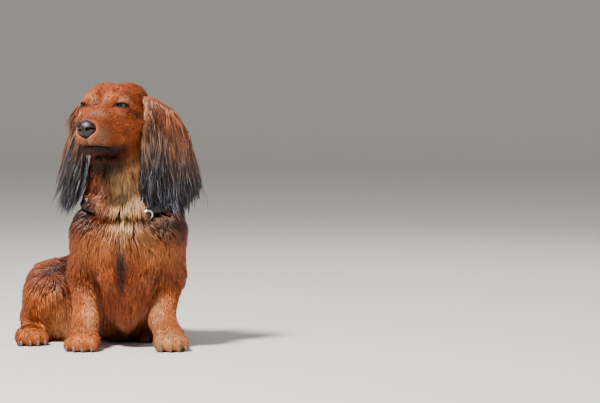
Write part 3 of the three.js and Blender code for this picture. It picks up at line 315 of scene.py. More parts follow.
# %% Grid and surface
def grid_field(swells, low, high, cell, coat_share, carve=None):
    """The field on a grid of the box, with the floor cut flat. carve may change it further."""
    axes = [np.arange(low[i], high[i] + cell, cell) for i in range(3)]
    shape = tuple(len(a) for a in axes)
    value = np.full(shape, 60.0)
    for s in swells:
        margin = s.reach + 6
        span = []
        for i in range(3):
            least, most = min(s.a[i], s.b[i]) - margin, max(s.a[i], s.b[i]) + margin
            span.append(slice(*np.searchsorted(axes[i], [least, most])))
        part = np.meshgrid(*(axes[i][span[i]] for i in range(3)), indexing="ij")
        if part[0].size == 0:
            continue
        p = np.stack([a.ravel() for a in part], 1)
        d = (s.distance(p) + s.coat * coat_share).reshape(part[0].shape)
        value[tuple(span)] = smooth_less(value[tuple(span)], d, s.blend)
    if carve is not None:
        x, y, z = np.meshgrid(*axes, indexing="ij")
        p = np.stack([x.ravel(), y.ravel(), z.ravel()], 1)
        value = carve(p, value.ravel()).reshape(shape)
    floor = 0.25 - axes[2][None, None, :]
    return np.maximum(value, floor), axes


CORNERS = [(i, j, k) for i in (0, 1) for j in (0, 1) for k in (0, 1)]
CELL_EDGES = [(a, b) for a in CORNERS for b in CORNERS if a < b and sum(abs(np.subtract(a, b))) == 1]


def surface_from(value, axes):
    """Points and four-sided faces of the surface where a grid of numbers is zero."""
    nx, ny, nz = (n - 1 for n in value.shape)
    total = np.zeros((nx, ny, nz, 3), np.float32)
    count = np.zeros((nx, ny, nz), np.int8)
    for a, b in CELL_EDGES:
        va = value[a[0]:a[0] + nx, a[1]:a[1] + ny, a[2]:a[2] + nz]
        vb = value[b[0]:b[0] + nx, b[1]:b[1] + ny, b[2]:b[2] + nz]
        crossed = (va < 0) != (vb < 0)
        t = va[crossed] / (va[crossed] - vb[crossed])
        total[crossed] += np.array(a) + (np.array(b) - np.array(a)) * t[:, None]
        count[crossed] += 1
    used = count > 0
    number = np.full(used.shape, -1)
    number[used] = np.arange(used.sum())
    cell = axes[0][1] - axes[0][0]
    low = vec(*(a[0] for a in axes))
    points = low + (np.argwhere(used) + total[used] / count[used][:, None]) * cell
    inside = value < 0
    faces = []
    for axis in range(3):
        ahead = np.roll(inside, -1, axis)
        crossed = inside != ahead
        where = np.argwhere(crossed)
        limit = np.array(value.shape) - 1
        others = [i for i in range(3) if i != axis]
        good = where[:, axis] < limit[axis]
        for other in others:
            good &= (where[:, other] > 0) & (where[:, other] < limit[other])
        where = where[good]
        ring = []
        for du, dv in ((-1, -1), (0, -1), (0, 0), (-1, 0)):
            at = where.copy()
            at[:, others[0]] += du
            at[:, others[1]] += dv
            ring.append(number[tuple(at.T)])
        quad = np.stack(ring, 1)
        flip = inside[tuple(where.T)] if axis == 1 else ~inside[tuple(where.T)]
        quad[flip] = quad[flip][:, ::-1]
        faces.append(quad)
    return points, np.concatenate(faces)


def add_mesh(name, points, faces):
    """A Blender object from points in millimetres of the dog's own measures."""
    mesh = bpy.data.meshes.new(name)
    mesh.vertices.add(len(points))
    mesh.vertices.foreach_set("co", ((points + SHIFT) * MM).astype(np.float32).ravel())
    corners = faces.shape[1]
    mesh.loops.add(faces.size)
    mesh.loops.foreach_set("vertex_index", faces.astype(np.int32).ravel())
    mesh.polygons.add(len(faces))
    mesh.polygons.foreach_set("loop_start", np.arange(0, faces.size, corners, dtype=np.int32))
    mesh.update(calc_edges=True)
    mesh.polygons.foreach_set("use_smooth", np.full(len(faces), True))
    obj = bpy.data.objects.new(name, mesh)
    bpy.context.scene.collection.objects.link(obj)
    return obj


def add_mixed_mesh(name, points, faces):
    """The same for a list of faces that don't all have as many corners."""
    mesh = bpy.data.meshes.new(name)
    mesh.from_pydata([tuple(v) for v in (points + SHIFT) * MM], [], faces)
    mesh.update()
    mesh.polygons.foreach_set("use_smooth", np.full(len(faces), True))
    obj = bpy.data.objects.new(name, mesh)
    bpy.context.scene.collection.objects.link(obj)
    return obj


def paint_mesh(obj, colour, layer="coat"):
    """Put one colour per point on a mesh, as the attribute that its material reads."""
    made = obj.data.color_attributes.new(layer, "FLOAT_COLOR", "POINT")
    made.data.foreach_set("color", np.c_[colour, np.ones(len(colour))].astype(np.float32).ravel())


# %% [markdown]
# ## The skin
# The head is carved before its surface is drawn: lids swell over each eyeball and an
# almond-shaped opening is cut in them, the nose pad gets its bed, and a thin groove makes the
# line of the mouth. The head has a finer grid than the body, and the two meet on the throat,
# under the ruff.

# %% Carve the face
NOSE = {"ahead": 112, "up": -31, "sizes": (11, 15.5, 13.5)}
THROAT_POINT = head.at(-30, 0, -46)
THROAT_UP = unit(vec(-0.05, -0.5, 0.86))
MOUTH_FRONT, MOUTH_LENGTH = 94, 62
MOUTH_CORNER = MOUTH_FRONT - MOUTH_LENGTH


def mouth_height(forward):
    """Height of the line of the mouth in the head's frame, at a length forward."""
    back = np.clip((MOUTH_FRONT - forward) / MOUTH_LENGTH, 0, 1)
    return -57.5 - 2.8 * np.sin(back * np.pi) + 1.5 * back


def carve_face(p, d):
    """The head's field with lids, eye openings, a bed for the nose and the line of the mouth."""
    for s in SIDES.values():
        eye = EyeFrame(s)
        q = p - eye.centre
        far = np.linalg.norm(q, axis=1)
        x, y, z = q @ eye.across, q @ eye.up, q @ eye.out
        d = smooth_less(d, far - (EYE["ball"] + EYE["lid"]), 7.0)
        crease = np.abs(far - (EYE["ball"] + EYE["lid"] + 1.2)) + np.abs(y - 6.5) * 0.5
        d = d + 1.1 * np.exp(-((crease / 2.2) ** 2)) * (z > 0)
        almond = np.sqrt((x / EYE["wide"]) ** 2 + ((y + 0.6) / EYE["high"]) ** 2)
        opening = np.maximum((almond - 1) * EYE["high"], 1 - z)
        d = np.maximum(d, -(far - (EYE["ball"] + EYE["gap"])))
        d = np.maximum(d, -opening)
    f, l, u = head.local(p).T
    pad = np.sqrt(((f - NOSE["ahead"]) / 11.6) ** 2 + (l / 16.1) ** 2 + ((u - NOSE["up"]) / 14.1) ** 2)
    d = np.maximum(d, -(pad - 1) * 12)
    groove = np.abs(u - mouth_height(f)) - 0.75
    depth = np.maximum(groove, -(d + 4.5))
    d = np.where(f > MOUTH_CORNER, np.maximum(d, -depth), d)
    split = np.maximum(np.abs(l) - 0.6, np.maximum(-(d + 2.0), u - NOSE["up"] + 9))
    return np.where((f > 95) & (u > -56), np.maximum(d, -split), d)


def head_only(p, d):
    """The carved head, closed flat a little inside the neck."""
    return np.maximum(carve_face(p, d), -((p - THROAT_POINT) @ THROAT_UP + 8))


def body_only(p, d):
    """The rest of the body. Its top closes inside the head."""
    return np.maximum(d, (p - THROAT_POINT) @ THROAT_UP - 4)


# %% Draw the skins
HEAD_CELL = 1.15
BODY_CELL = 2.7
HEAD_BOX = (-125, -185, 268), (70, 62, 436)
BODY_BOX = (-215, -135, -8), (135, 335, 400)
value, axes = grid_field(HEAD + NECK, *HEAD_BOX, HEAD_CELL, 1.0, head_only)
skin_head = add_mesh("skin_head", *surface_from(value, axes))
value, axes = grid_field(BODY, *BODY_BOX, BODY_CELL, 1.0, body_only)
skin_body = add_mesh("skin_body", *surface_from(value, axes))
del value
print("skin faces", len(skin_head.data.polygons), len(skin_body.data.polygons))

# %% [markdown]
# ## Ears
# The leather of an ear is a cupped flap. Rows run down it and columns run across it. It hangs
# from its fold beside the skull and stands off the cheek, because its long hair pushes it out.

# %% Ear leather
EAR = {
    "length": 140,
    "rise": 9,
    "widths": (14, 27, 35, 41, 44, 46, 45, 38, 20),
    "backward": (12, 26, 33, 36, 36, 36, 37, 38, 39),
    "outward": (3, 11, 16, 19, 19, 18, 17, 16, 15),
    "turn": 52,
}


def sampled(values, share):
    """A list of evenly spaced values, read between its places."""
    return np.interp(share, np.linspace(0, 1, len(values)), values)


def ear_axes(s):
    """Directions across an ear, toward its back edge, and out of its outer face."""
    turn = np.radians(EAR["turn"])
    across = unit(head.along(-np.sin(turn), np.cos(turn) * s, 0))
    out = unit(head.along(np.cos(turn), np.sin(turn) * s, 0))
    return across, out


def ear_root(s):
    """Place of the fold that an ear hangs from."""
    return head.at(-6, 42 * s, 21)


def ear_points(s, down, place, lift):
    """Points of an ear from the share down it, the place across (-1 to 1) and a lift off it."""
    across, out = ear_axes(s)
    down, place = np.broadcast_arrays(np.asarray(down, float), place)
    cup = 9 * (1 - down * 0.6) * (0.4 - place**2)
    rise = EAR["rise"] * np.sin(np.pi * np.minimum(down * 4, 1)) * (1 - down)
    sideways = sampled(EAR["backward"], down) + place * sampled(EAR["widths"], down)
    outward = sampled(EAR["outward"], down) + cup + lift
    p = ear_root(s) + across * sideways[..., None] + out * outward[..., None]
    slump = 13 * np.clip((sideways - 14) / 36, 0, 1) * (1 - down) ** 2
    p[..., 2] += rise - slump - EAR["length"] * down
    return p


def ear_leather(name, s, rows=40, columns=24):
    """A closed flap: a ring of points round each row, down one face and back up the other."""
    down = np.linspace(0, 1, rows)[:, None]
    place = np.concatenate([np.linspace(-1, 1, columns), np.linspace(1, -1, columns)])[None, :]
    face = np.concatenate([np.ones(columns), -np.ones(columns)])[None, :]
    half = 2.2 * np.sqrt(1 - 0.86 * place**2) * (1 - 0.35 * down)
    points = ear_points(s, down, place, face * half).reshape(-1, 3)
    ring = 2 * columns
    r, c = np.meshgrid(np.arange(rows - 1), np.arange(ring), indexing="ij")
    a, b = r * ring + c, r * ring + (c + 1) % ring
    quads = np.stack([a, b, b + ring, a + ring], -1).reshape(-1, 4)
    ends = []
    for row in (0, rows - 1):
        for c in range(columns - 1):
            near, far = row * ring + c, row * ring + ring - 1 - c
            ends.append((near, far, far - 1, near + 1) if row == 0 else (near, near + 1, far - 1, far))
    faces = np.concatenate([quads, ends])
    return add_mesh(name, points, faces if s > 0 else faces[:, ::-1])


ears = {name: ear_leather(f"ear_leather_{name}", s) for name, s in SIDES.items()}
print("ear leathers", [len(e.data.polygons) for e in ears.values()])

# %% [markdown]
# ## The lie, length and colour of the coat
# Hair is combed by guides: places on the dog where the direction, length and width of the hair
# are known. Every other hair takes an average, in which near guides count most. Colours work in
# the same way with dabs of paint, laid one over the other.

# %% Guides for the comb
DOWN = vec(0, 0, -1)


def guide(place, lie, length, width, reach, lift=0.25, droop=0.3):
    """Hair at a place: its direction, length, width, and how far the guide reaches."""
    return (*place, *unit(np.array(lie, float)), length, width, reach, lift, droop)


GUIDES = [
    # Muzzle, forehead, cheeks and skull: very short, back from the nose.
    guide(h(105, 0, -15), head.along(-1, 0, 0.2), 3.5, 0.9, 22, 0.16, 0),
    guide(h(70, 0, 6), head.along(-1, 0, 0.35), 5, 1.0, 24, 0.14, 0),
    guide(h(40, 0, 30), head.along(-1, 0, 0.5), 7, 1.2, 26, 0.16, 0),
    guide(h(0, 0, 45), head.along(-1, 0, 0), 7, 1.2, 34, 0.1, 0.0),
    guide(h(100, 0, -62), head.along(-1, 0, -0.3), 4, 1.0, 20, 0.2, 0.1),
    guide(h(-40, 0, 10), head.along(-0.7, 0, -1), 20, 2.0, 36, 0.3, 0.3),
]
for s in SIDES.values():
    GUIDES += [
        guide(h(90, 18 * s, -35), head.along(-1, 0.1 * s, -0.35), 4.5, 1.0, 20, 0.16, 0),
        guide(h(45, 34 * s, -25), head.along(-1, 0.1 * s, -0.45), 7, 1.2, 24, 0.16, 0.1),
        guide(h(10, 46 * s, -20), head.along(-0.8, 0.1 * s, -0.7), 12, 1.5, 26, 0.2, 0.2),
        guide(h(20, 30 * s, 30), head.along(-1, 0.4 * s, 0.1), 8, 1.2, 24, 0.16, 0.1),
        guide(h(44, 26 * s, 8), head.along(-0.5, 0.8 * s, 0.5), 4, 0.9, 15, 0.14, 0),
        guide(h(-5, 30 * s, -55), head.along(-0.4, 0.1 * s, -1), 24, 2.0, 30, 0.35, 0.4),
        # Sides of the neck and the shoulders.
        guide((-4 + 52 * s, 0, 280), (0.1 * s, 0.2, -1), 34, 2.3, 40, 0.14, 0.3),
        guide((74 * s, -10, 215), (0.25 * s, 0.35, -1), 28, 2.2, 42, 0.12, 0.2),
        guide((96 * s, -15, 165), (0.05 * s, 0.5, -1), 26, 2.2, 42, 0.1, 0.2),
        # Forechest on each side of the middle line, which curls in toward the groove.
        guide((40 * s, -84, 188), (0.7 * s, 0, -1), 26, 2.1, 26, 0.12, 0.2),
        guide((62 * s, -66, 160), (0.1 * s, 0, -1), 26, 2.1, 26, 0.12, 0.2),
        guide((36 * s, -80, 140), (-0.7 * s, 0.05, -1), 28, 2.1, 26, 0.14, 0.2),
        guide((22 * s, -66, 104), (-0.2 * s, 0.05, -1), 38, 2.4, 28, 0.22, 0.4),
        # Front legs: short in front, longer behind.
        guide((66 * s, -40, 80), (0, -0.1, -1), 10, 1.0, 28, 0.06, 0.1),
        guide((62 * s, -62, 48), (0, -0.3, -1), 6.5, 0.9, 26, 0.06, 0.1),
        guide((66 * s, -100, 20), (0.1 * s, -1, -0.35), 5, 0.8, 28, 0.06, 0),
        guide((66 * s, 12, 80), (0.1 * s, 0.6, -1), 36, 2.4, 26, 0.5, 0.6),
    ]
GUIDES += [
    # Throat, bib and keel, then the belly, down to the floor.
    guide((-8, -52, 300), (0, -0.1, -1), 28, 2.4, 34, 0.3, 0.4),
    guide((-4, -62, 250), (0, -0.1, -1), 44, 2.8, 36, 0.42, 0.5),
    guide((0, -84, 205), (0, 0, -1), 46, 2.8, 30, 0.4, 0.5),
    guide((0, -84, 150), (0, 0.1, -1), 34, 2.2, 20, 0.2, 0.3),
    guide((0, -52, 90), (0, 0.15, -1), 52, 2.8, 36, 0.45, 0.7),
    guide((-4, 20, 60), (0, 0.3, -1), 48, 2.8, 42, 0.5, 0.8),
    guide((-10, 90, 50), (0, 0.4, -1), 40, 2.8, 46, 0.5, 0.8),
    # Withers, back, loin and croup.
    guide((-2, 50, 240), (0, 0.6, -1), 30, 2.2, 44, 0.1, 0.2),
    guide((-12, 110, 205), (-0.1, 0.8, -0.7), 24, 2.0, 48, 0.08, 0.1),
    guide((-50, 190, 135), (-0.35, 0.8, -0.6), 26, 2.0, 48, 0.08, 0.2),
    guide((-80, 250, 70), (-0.3, 0.7, -1), 38, 2.8, 40, 0.25, 0.5),
    # Flanks.
    guide((70, 80, 120), (0.2, 0.7, -1), 30, 2.3, 46, 0.1, 0.3),
    guide((-100, 60, 120), (-0.3, 0.6, -1), 28, 2.2, 44, 0.1, 0.3),
    guide((20, 170, 100), (0.3, 0.4, -1), 34, 2.6, 46, 0.16, 0.4),
    # Right thigh: streams down and forward to the floor, as it is folded.
    guide((-145, 120, 90), (-0.4, -0.2, -1), 36, 2.3, 40, 0.14, 0.3),
    guide((-160, 90, 45), (-0.15, -0.35, -1), 36, 2.3, 34, 0.16, 0.4),
    guide((-110, 60, 60), (0.3, -0.45, -1), 36, 2.3, 34, 0.18, 0.4),
    guide((-120, 190, 60), (-0.6, 0.4, -1), 42, 2.8, 42, 0.3, 0.5),
    guide((-156, 25, 26), (-0.3, -1, -0.3), 5, 0.9, 28, 0.06, 0),
    guide((50, 100, 40), (0.3, -0.3, -1), 30, 2.6, 34, 0.25, 0.5),
    guide((38, 60, 26), (0.2, -1, -0.3), 5, 0.9, 26, 0.06, 0),
    # Tail: along it, then out to both sides as a plume.
    guide((-80, 275, 30), (0.2, 1, -0.4), 40, 2.6, 26, 0.35, 0.4),
    guide((-40, 300, 20), (1, 0.5, -0.2), 46, 2.6, 26, 0.35, 0.3),
    guide((10, 306, 16), (1, 0.1, -0.2), 44, 2.6, 28, 0.3, 0.3),
    guide((50, 288, 12), (0.8, -0.8, -0.1), 30, 2.4, 28, 0.2, 0.3),
]
GUIDES = np.array(GUIDES)


def comb(p):
    """Direction, length, width, lift and droop of the hair at rows of places."""
    far = np.linalg.norm(p[:, None, :] - GUIDES[None, :, :3], axis=2)
    weight = np.exp(-((far / GUIDES[:, 8]) ** 2)) + 1e-9 / (1 + far**2)
    weight /= weight.sum(1, keepdims=True)
    mixed = weight @ GUIDES
    return unit(mixed[:, 3:6]), mixed[:, 6], mixed[:, 7], mixed[:, 9], mixed[:, 10]


# %% [markdown]
# Colours are typed as they look on a screen, from 0 to 255, and turned to light, which is what a
# shader works with.


# %% Dabs of colour
def paint(*rgb):
    """A screen colour, as light."""
    c = vec(*rgb) / 255
    return np.where(c <= 0.04045, c / 12.92, ((c + 0.055) / 1.055) ** 2.4)


MAHOGANY = paint(158, 74, 30)
RED = paint(176, 84, 32)
ORANGE = paint(212, 122, 56)
PALE_COAT_AND_HIGHLIGHT = paint(228, 168, 110)
FAWN = paint(206, 148, 94)
CREAM = paint(222, 182, 132)
UMBER_AND_SHADE = paint(74, 36, 24)
CHIN_SHADE = paint(54, 24, 17)
DARK_COAT_AND_SHADE = paint(42, 20, 15)
BLACK = paint(26, 23, 26)
SLATE_SHEEN = paint(122, 126, 142)
VIOLET_GREY_AND_SHEEN = paint(96, 72, 76)
TAN = paint(122, 70, 42)
GREYING = paint(186, 146, 118)


def toward(colour, other, share):
    """Rows of colours, each moved toward another colour by its own share of the way."""
    return colour + (other - colour) * share[:, None]


def dab(place, sizes, colour, strength=1.0):
    """Paint round a place, with its half sizes along x, y and z."""
    sizes = (sizes,) * 3 if np.isscalar(sizes) else sizes
    return (*place, *sizes, *colour, strength)


DABS = [
    # Dark violet-brown over the back and flanks.
    dab((-10, 110, 210), (70, 70, 44), UMBER_AND_SHADE, 0.8),
    dab((-60, 190, 140), (60, 60, 40), UMBER_AND_SHADE, 0.85),
    dab((75, 100, 150), (34, 60, 40), UMBER_AND_SHADE, 0.5),
    dab((0, 60, 250), (60, 44, 36), UMBER_AND_SHADE, 0.7),
    # Bright forechest and thighs: paler orange coat, with painted highlights on the forechest.
    dab((-44, -70, 158), (36, 44, 38), ORANGE, 0.85),
    dab((46, -70, 156), (36, 44, 36), ORANGE, 0.85),
    dab((-30, -80, 168), (14, 34, 20), PALE_COAT_AND_HIGHLIGHT, 0.45),
    dab((36, -80, 166), (16, 34, 20), PALE_COAT_AND_HIGHLIGHT, 0.4),
    dab((0, -70, 110), (40, 50, 34), RED, 0.6),
    # Painted shade where the front legs meet the chest, and under the belly near the floor.
    dab((46, -60, 104), (26, 60, 12), UMBER_AND_SHADE, 0.75),
    dab((-62, -60, 110), (14, 60, 18), UMBER_AND_SHADE, 0.5),
    dab((-43, -60, 92), (7, 60, 22), UMBER_AND_SHADE, 0.6),
    dab((0, 0, 16), (60, 90, 26), UMBER_AND_SHADE, 0.75),
    dab((-130, 70, 56), (36, 70, 36), ORANGE, 0.9),
    dab((-104, 40, 26), (22, 90, 20), PALE_COAT_AND_HIGHLIGHT, 0.5),
    # Dark flank with a painted violet highlight along its edge.
    dab((-114, 95, 124), (34, 110, 20), UMBER_AND_SHADE, 0.93),
    dab((-136, 95, 108), (18, 110, 12), UMBER_AND_SHADE, 0.85),
    dab((-102, 95, 88), (17, 110, 20), UMBER_AND_SHADE, 0.85),
    dab((-142, 95, 99), (11, 110, 8), VIOLET_GREY_AND_SHEEN, 0.75),
    dab((-126, 95, 89), (11, 110, 8), VIOLET_GREY_AND_SHEEN, 0.75),
    dab((-112, 95, 76), (9, 110, 9), VIOLET_GREY_AND_SHEEN, 0.75),
    dab((-146, 26, 14), (34, 44, 20), ORANGE, 0.7),
    dab((-10, -20, 30), (50, 50, 36), RED, 0.5),
    # Dark saddle at the base of the neck beside the bib, partly darker coat, partly painted ear shade;
    # painted shade in the breast groove.
    dab((-66, -30, 203), (38, 110, 33), DARK_COAT_AND_SHADE, 0.99),
    dab((72, -40, 190), (60, 110, 31), DARK_COAT_AND_SHADE, 0.99),
    dab((-6, -80, 126), (9, 80, 54), DARK_COAT_AND_SHADE, 0.95),
    # Shade under the jaw.
    dab((-52, 10, 282), (24, 100, 36), DARK_COAT_AND_SHADE, 0.97),
    dab((-26, -40, 280), (30, 100, 36), DARK_COAT_AND_SHADE, 0.97),
    # Fawn bib, which narrows to a point between the shoulders.
    dab((23, -52, 268), (23, 60, 28), FAWN, 0.95),
    dab((16, -52, 250), (24, 60, 20), CREAM, 0.6),
    dab((4, -62, 240), (32, 40, 32), CREAM, 0.9),
    dab((0, -80, 206), (23, 36, 26), CREAM, 0.85),
    dab((-3, -88, 178), (13, 34, 22), FAWN, 0.8),
    dab((12, -60, 262), (7, 30, 18), ORANGE, 0.5),
    # Front legs and paws, with a painted highlight along the inner edge of each front leg.
    dab((60, -50, 62), (30, 34, 34), ORANGE, 0.85),
    dab((50, -60, 54), (11, 24, 32), PALE_COAT_AND_HIGHLIGHT, 0.75),
    dab((-64, -50, 60), (30, 34, 34), ORANGE, 0.75),
    dab((-54, -60, 50), (10, 24, 26), PALE_COAT_AND_HIGHLIGHT, 0.6),
    dab((70, -95, 16), (34, 34, 18), PALE_COAT_AND_HIGHLIGHT, 0.5),
    dab((-65, -95, 16), (34, 34, 18), ORANGE, 0.75),
    # Face: tan brow spots, violet folds over the eyes, painted shade in the hollows, and a greying
    # muzzle.
    dab(h(30, 0, 30), (40, 30, 14), RED, 0.5),
    dab(h(86, 0, -14), (13, 15, 10), VIOLET_GREY_AND_SHEEN, 0.5),
    dab(h(78, 4, -10), (12, 11, 9), GREYING, 0.65),
    dab(h(94, 15, -43), (20, 18, 15), GREYING, 0.65),
    dab(h(104, 0, -48), (10, 16, 8), GREYING, 0.8),
    dab(h(100, -10, -38), (15, 14, 15), GREYING, 0.7),
    dab(h(64, 22, -40), (12, 12, 14), RED, 0.5),
    # Painted shade in the hollow of the cheek.
    dab(h(46, 33, -36), (7, 8, 7), UMBER_AND_SHADE, 0.75),
    dab(h(48, 34, -47), (7, 8, 6), ORANGE, 0.75),
    # Painted shade from the outer corner of the eye back toward the ear.
    dab(h(27, 44, -7), (11, 9, 5), UMBER_AND_SHADE, 0.75),
    dab(h(10, 49, -12), (12, 9, 7), UMBER_AND_SHADE, 0.7),
    dab(h(106, 0, -22), (9, 12, 6), UMBER_AND_SHADE, 0.45),
]
for s in SIDES.values():
    DABS += [
        dab(h(55, 19 * s, 21), (9, 9, 7), ORANGE, 0.75),
        dab(h(42, 33 * s, 16), (8, 8, 6), GREYING, 0.6),
        dab(h(62, 8 * s, 16), (8, 5, 10), GREYING, 0.45),
        dab(h(50, 28 * s, -9), (10, 8, 4), PALE_COAT_AND_HIGHLIGHT, 0.28),
        dab(h(34, 37 * s, 3), (6, 5, 3.5), DARK_COAT_AND_SHADE, 0.85),
        dab(h(30, 40 * s, -30), 14, RED, 0.4),
    ]
DABS = np.array(DABS)


def paint_body(p):
    """Colour of the coat at rows of places on the body and head, with painted shade and highlights."""
    colour = np.repeat(MAHOGANY[None, :], len(p), 0)
    for x, y, z, sx, sy, sz, r, g, b, strength in DABS:
        off = (p - (x, y, z)) / (sx, sy, sz)
        share = strength * np.exp(-((off**2).sum(1) ** 1.3))
        colour = toward(colour, np.array((r, g, b)), share)
    f, _l, u = head.local(p).T
    # Painted shade: below the line of the mouth the jaw is coloured dark, as it lies in shade.
    under = np.clip((mouth_height(f) - u) / 2.5, 0, 1) * np.clip((f - 5) / 20, 0, 1)
    under *= np.clip((p[:, 2] - 282) / 12, 0, 1)
    colour = toward(colour, CHIN_SHADE, 0.92 * under)
    lips = np.exp(-(np.abs((u - mouth_height(f) + 1.4) / 4) ** 3))
    lips *= np.clip((f - MOUTH_CORNER + 4) / 8, 0, 1)
    colour = toward(colour, BLACK, 0.95 * lips)
    for s in SIDES.values():
        eye = EyeFrame(s)
        q = p - eye.centre
        x, y, z = q @ eye.across, q @ eye.up, q @ eye.out
        almond = np.sqrt((x / (EYE["wide"] + 0.6)) ** 2 + ((y + 0.6) / (EYE["high"] + 0.4)) ** 2)
        rim = np.exp(-(((almond - 1.05) / 0.42) ** 2)) * (z > 0)
        colour = toward(colour, BLACK, 0.95 * rim)
    return colour


def paint_ear(down, place):
    """Colour of an ear's hair: red-brown above, black below; its blue-grey shine is painted on the tufts.
    """
    dark = 1 / (1 + np.exp(-(down - 0.6 - 0.13 * place) * 13))
    streak = np.exp(-(((place + 0.4) / 0.34) ** 4)) * np.exp(-(((down - 0.42) / 0.28) ** 4))
    edge = np.exp(-(((place + 0.98) / 0.14) ** 2)) * (down < 0.6)
    colour = toward(TAN, RED, np.clip(0.75 - down * 1.2, 0, 1))
    colour = toward(colour, PALE_COAT_AND_HIGHLIGHT, 0.7 * edge)
    return toward(colour, BLACK, np.maximum(dark, 0.96 * streak))


print(len(GUIDES), "guides and", len(DABS), "dabs")

# %% [markdown]
# ## Tufts of hair
# A tuft is a thin closed spike with a three-sided section that follows a bent path and tapers to
# a point. All tufts are built at once: their paths are one block of numbers, tufts by steps by
# three. At each step a tuft leans a little more toward the floor, and it is pushed out of the
# body where it would sink in. A patch of the OFBake map, at the root's place on an unwrap of the
# body, lets every tuft take one colour of its own, and a second map runs along each tuft.

# %% Grow the paths of tufts
COLLAR_POINT, COLLAR_UP = vec(-1, 4, 230), unit(vec(0, -0.22, 0.97))
BAND_HEIGHT = 4.8
BAND_LOW, BAND_TOP, THICK_TO = -1, 10.5, 34


def over_collar(p):
    """How far hair stands off to lie over the collar, its height over it, and how bare it is."""
    above = (p - COLLAR_POINT) @ COLLAR_UP
    bare = np.exp(-(((p[:, 0] + 50) / 8) ** 2)) * (p[:, 1] < 10)
    bare = np.maximum(bare, np.exp(-(((p[:, 0] - 34) / 8) ** 4)) * (p[:, 1] < 0))
    bare = 0.8 * bare
    beside = np.clip((np.abs(p[:, 0]) - 60) / 12, 0, 1) + (p[:, 1] > 10)
    cover = np.clip(1 - bare - beside, 0, 1)
    reach = np.where(above < BAND_HEIGHT, 24, 12)
    return 13.5 * np.exp(-(((above - BAND_HEIGHT) / reach) ** 2)) * cover, above, bare


def clump(path, every, strength):
    """Tips of neighbouring tufts drawn together, so that the hair lies in small locks."""
    count, stations = path.shape[:2]
    leaders = rng.choice(count, max(1, count // every), replace=False)
    tree = KDTree(len(leaders))
    for i, leader in enumerate(leaders):
        tree.insert(path[leader, 0], i)
    tree.balance()
    nearest = leaders[[tree.find(root)[1] for root in path[:, 0]]]
    share = (np.arange(stations) / (stations - 1)) ** 1.4
    length = np.linalg.norm(path[:, -1] - path[:, 0], axis=1)
    pull = strength * np.clip((length - 8) / 18, 0, 1)
    return path + (path[nearest] - path) * (share[None, :] * pull[:, None])[..., None]


def grow_paths(roots, lie, length, lift, droop, rings, swells, wander=0.12):
    """Paths of tufts: rings places and a tip, the first one sunk a little in the skin."""
    normal = slope_of(swells, roots, 1.0)
    depth = np.maximum(-field_of(swells, roots, 0.0), 0.4) * rng.uniform(0.12, 1.0, len(roots))
    flat = unit(lie - normal * (lie * normal).sum(1, keepdims=True))
    side = np.cross(normal, flat)
    way = unit(flat + normal * lift[:, None] + side * rng.normal(0, wander, (len(roots), 1)))
    step = (length / rings)[:, None]
    p = roots.copy()
    path = [roots - normal * 1.2]
    bend = rng.normal(0, wander * 0.7, (len(roots), 1))
    hangs_over = (roots - COLLAR_POINT) @ COLLAR_UP > BAND_HEIGHT
    for i in range(1, rings + 1):
        way = unit(way + DOWN * (droop / rings)[:, None] + side * bend / rings)
        p = p + way * step
        away = field_of(swells, p, 1.0)
        want = 0.5 + 0.2 * i + depth * min(1, i / 2) + over_collar(p)[0] * hangs_over
        off = want - away
        move = np.where(off > 0, off, off * 0.35 * (lift < 0.3))
        p = p + slope_of(swells, p, 1.0) * move[:, None]
        p[:, 2] = np.maximum(p[:, 2], 1.0 + 0.4 * rng.random(len(p)))
        path.append(p.copy())
    return np.stack(path, 1), normal


# %% Build tufts
SHAPES = {3: (0.8, 1.0, 0.62), 4: (0.7, 1.0, 0.86, 0.5)}
PATCH = 0.003


